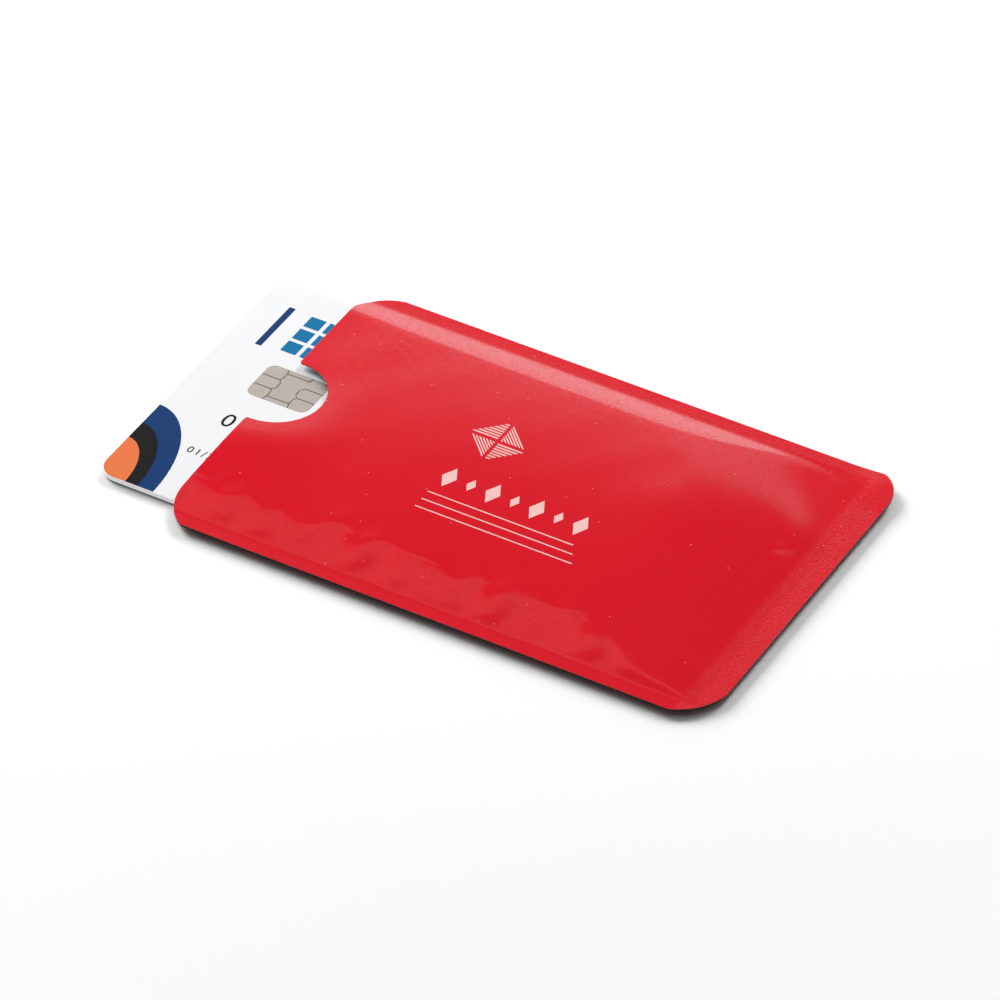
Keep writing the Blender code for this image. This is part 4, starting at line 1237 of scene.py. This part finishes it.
def add_camera(scene, studio):
    """The camera: bearing and height as angles about the origin, and a long lens."""
    data = bpy.data.cameras.new("Camera")
    data.lens = studio.lens
    data.shift_x, data.shift_y = studio.shift
    data.clip_start = 0.01
    camera = bpy.data.objects.new("Camera", data)
    scene.collection.objects.link(camera)
    a, e = studio.azimuth, studio.elevation
    back = Vector((math.cos(e) * math.sin(a), -math.cos(e) * math.cos(a), math.sin(e)))
    aim(camera, back * studio.distance, (0, 0, 0))
    scene.camera = camera


def add_lamp(scene, name, place, size, radiance):
    """A soft box aimed at the object, whose power gives it this radiance."""
    data = bpy.data.lights.new(name, "AREA")
    data.shape = "RECTANGLE"
    data.size, data.size_y = size
    data.energy = math.pi * data.size * data.size_y * radiance
    lamp = bpy.data.objects.new(name, data)
    scene.collection.objects.link(lamp)
    aim(lamp, place, (0, 0, 0))


# The world's brightness by the sine of the height above the horizon, from the rear
SKY = (
    (0.0, 0.6),
    (0.2, 1.2),
    (0.36, 1.4),
    (0.49, 1.05),
    (0.585, 1.0),
    (0.602, 0.85),
    (0.61, 0.55),
    (0.621, 0.27),
    (0.637, 0.17),
    (0.66, 0.08),
    (0.7, 0.06),
    (0.712, 0.36),
    (0.75, 0.48),
    (0.8, 0.46),
    (0.822, 0.14),
    (0.885, 0.14),
    (0.91, 1.1),
    (1.0, 1.4),
)


# How far to the rear a direction points, as a cosine, where the dim front ends and where the full
# light begins
FRONT_END, REAR_START = -0.1, 0.55


def light_world(scene, studio):
    """White surroundings, dimmer at the front, with a dark band between two bright parts."""
    world = bpy.data.worlds.new("Studio")
    world.use_nodes = True
    scene.world = world
    tree = world.node_tree
    around = add(tree, "TexCoord").outputs["Generated"]
    high = add(tree, "SeparateXYZ", {0: around}).outputs["Z"]
    sky = add(tree, "ValToRGB", {0: high})
    stops = sky.color_ramp.elements
    while len(stops) < len(SKY):
        stops.new(0.5)
    for stop, (height, level) in zip(stops, SKY):
        stop.position = height
        stop.color = (level, level, level, 1)
    rear = (-math.sin(studio.azimuth), math.cos(studio.azimuth), 0)
    ahead = add(tree, "VectorMath", {0: around, 1: rear}, operation="DOT_PRODUCT")
    span = {"From Min": FRONT_END, "From Max": REAR_START, "To Min": studio.front_share}
    front = add(tree, "MapRange", {"Value": ahead.outputs["Value"], **span})
    level = add(tree, "Math", {0: sky, 1: front}, operation="MULTIPLY")
    camera = add(tree, "LightPath").outputs["Is Camera Ray"]
    seen = add(tree, "Math", {0: level, 1: camera}, operation="MAXIMUM")
    wire(tree.nodes["Background"], {"Color": (1, 1, 1), "Strength": seen})


def add_floor(scene, studio):
    """A plain floor: matt white where it is seen, with the shadow, and pure white further out."""
    low = -studio.floor_gap
    half = studio.floor_half
    corners = ((-half, -half, low), (half, -half, low), (half, half, low), (-half, half, low))
    mesh = bpy.data.meshes.new("Floor")
    mesh.from_pydata(corners, [], [(0, 1, 2, 3)])
    floor = bpy.data.objects.new("Floor", mesh)
    scene.collection.objects.link(floor)
    made = bpy.data.materials.new("Matt white paper")
    made.use_nodes = True
    tree = made.node_tree
    tree.nodes.clear()
    place = add(tree, "TexCoord").outputs["Object"]
    away = add(tree, "VectorMath", {0: place}, operation="LENGTH").outputs["Value"]
    reach, end = studio.shadow_reach, studio.shadow_fade * studio.shadow_reach
    far = add(tree, "MapRange", {"Value": away, "From Min": reach, "From Max": end})
    near = add(tree, "BsdfDiffuse", {"Color": (studio.floor_white,) * 3})
    shown = add(tree, "MixShader", {0: far, 1: near, 2: add(tree, "Emission")})
    plain = add(tree, "BsdfDiffuse", {"Color": (studio.floor_bounce,) * 3})
    rays = add(tree, "LightPath").outputs
    seen = rays["Is Camera Ray"]
    for ray in ("Is Glossy Ray", "Is Transmission Ray"):
        seen = add(tree, "Math", {0: seen, 1: rays[ray]}, operation="MAXIMUM")
    surface = add(tree, "MixShader", {0: seen, 1: plain, 2: shown})
    add(tree, "OutputMaterial", {"Surface": surface})
    mesh.materials.append(made)


class CARDHOLDER_OT_stage(Operator):
    """Set the camera, the three soft boxes, the world and the white floor"""

    bl_idname = "card_holder.stage"
    bl_label = "Stage"

    def execute(self, context):
        scene, studio = context.scene, context.scene.holder_studio
        add_camera(scene, studio)
        add_lamp(scene, "Rear softbox", studio.box_place, studio.box_size, studio.box_radiance)
        add_lamp(scene, "Key softbox", studio.key_place, studio.key_size, studio.key_radiance)
        add_lamp(scene, "Back softbox", studio.back_place, studio.back_size, studio.back_radiance)
        light_world(scene, studio)
        add_floor(scene, studio)
        scene.view_settings.view_transform = "Standard"
        return {"FINISHED"}


class CARDHOLDER_PT_panel(Panel):
    """Lists the sizes and colours, and a button for each group of pieces"""

    bl_idname = "CARDHOLDER_PT_panel"
    bl_label = "Card holder"
    bl_space_type = "VIEW_3D"
    bl_region_type = "UI"
    bl_category = "Card holder"

    def draw(self, context):
        for name in GROUPS:
            group = getattr(context.scene, name)
            box = self.layout.box()
            for key in group.__annotations__:
                box.prop(group, key)
        for operator in OPERATORS:
            self.layout.operator(operator.bl_idname)


GROUPS = {
    "holder_shape": SleeveShape,
    "holder_die": DieShape,
    "holder_prints": Prints,
    "holder_colours": Colours,
    "holder_studio": Studio,
}
OPERATORS = (
    CARDHOLDER_OT_front_panel,
    CARDHOLDER_OT_back_panel,
    CARDHOLDER_OT_welds,
    CARDHOLDER_OT_sleeve_print,
    CARDHOLDER_OT_card_sheets,
    CARDHOLDER_OT_chip,
    CARDHOLDER_OT_card_print,
    CARDHOLDER_OT_stage,
)


def register():
    for group in GROUPS.values():
        bpy.utils.register_class(group)
    for name, group in GROUPS.items():
        setattr(bpy.types.Scene, name, PointerProperty(type=group))
    for made in (*OPERATORS, CARDHOLDER_PT_panel):
        bpy.utils.register_class(made)


def unregister():
    for made in (CARDHOLDER_PT_panel, *reversed(OPERATORS)):
        bpy.utils.unregister_class(made)
    for name, group in GROUPS.items():
        delattr(bpy.types.Scene, name)
        bpy.utils.unregister_class(group)


def main():
    register()
    steps = bpy.ops.card_holder
    steps.front_panel()
    steps.back_panel()
    steps.welds()
    steps.sleeve_print()
    steps.card_sheets()
    steps.chip()
    steps.card_print()
    steps.stage()


if __name__ == "__main__":
    main()
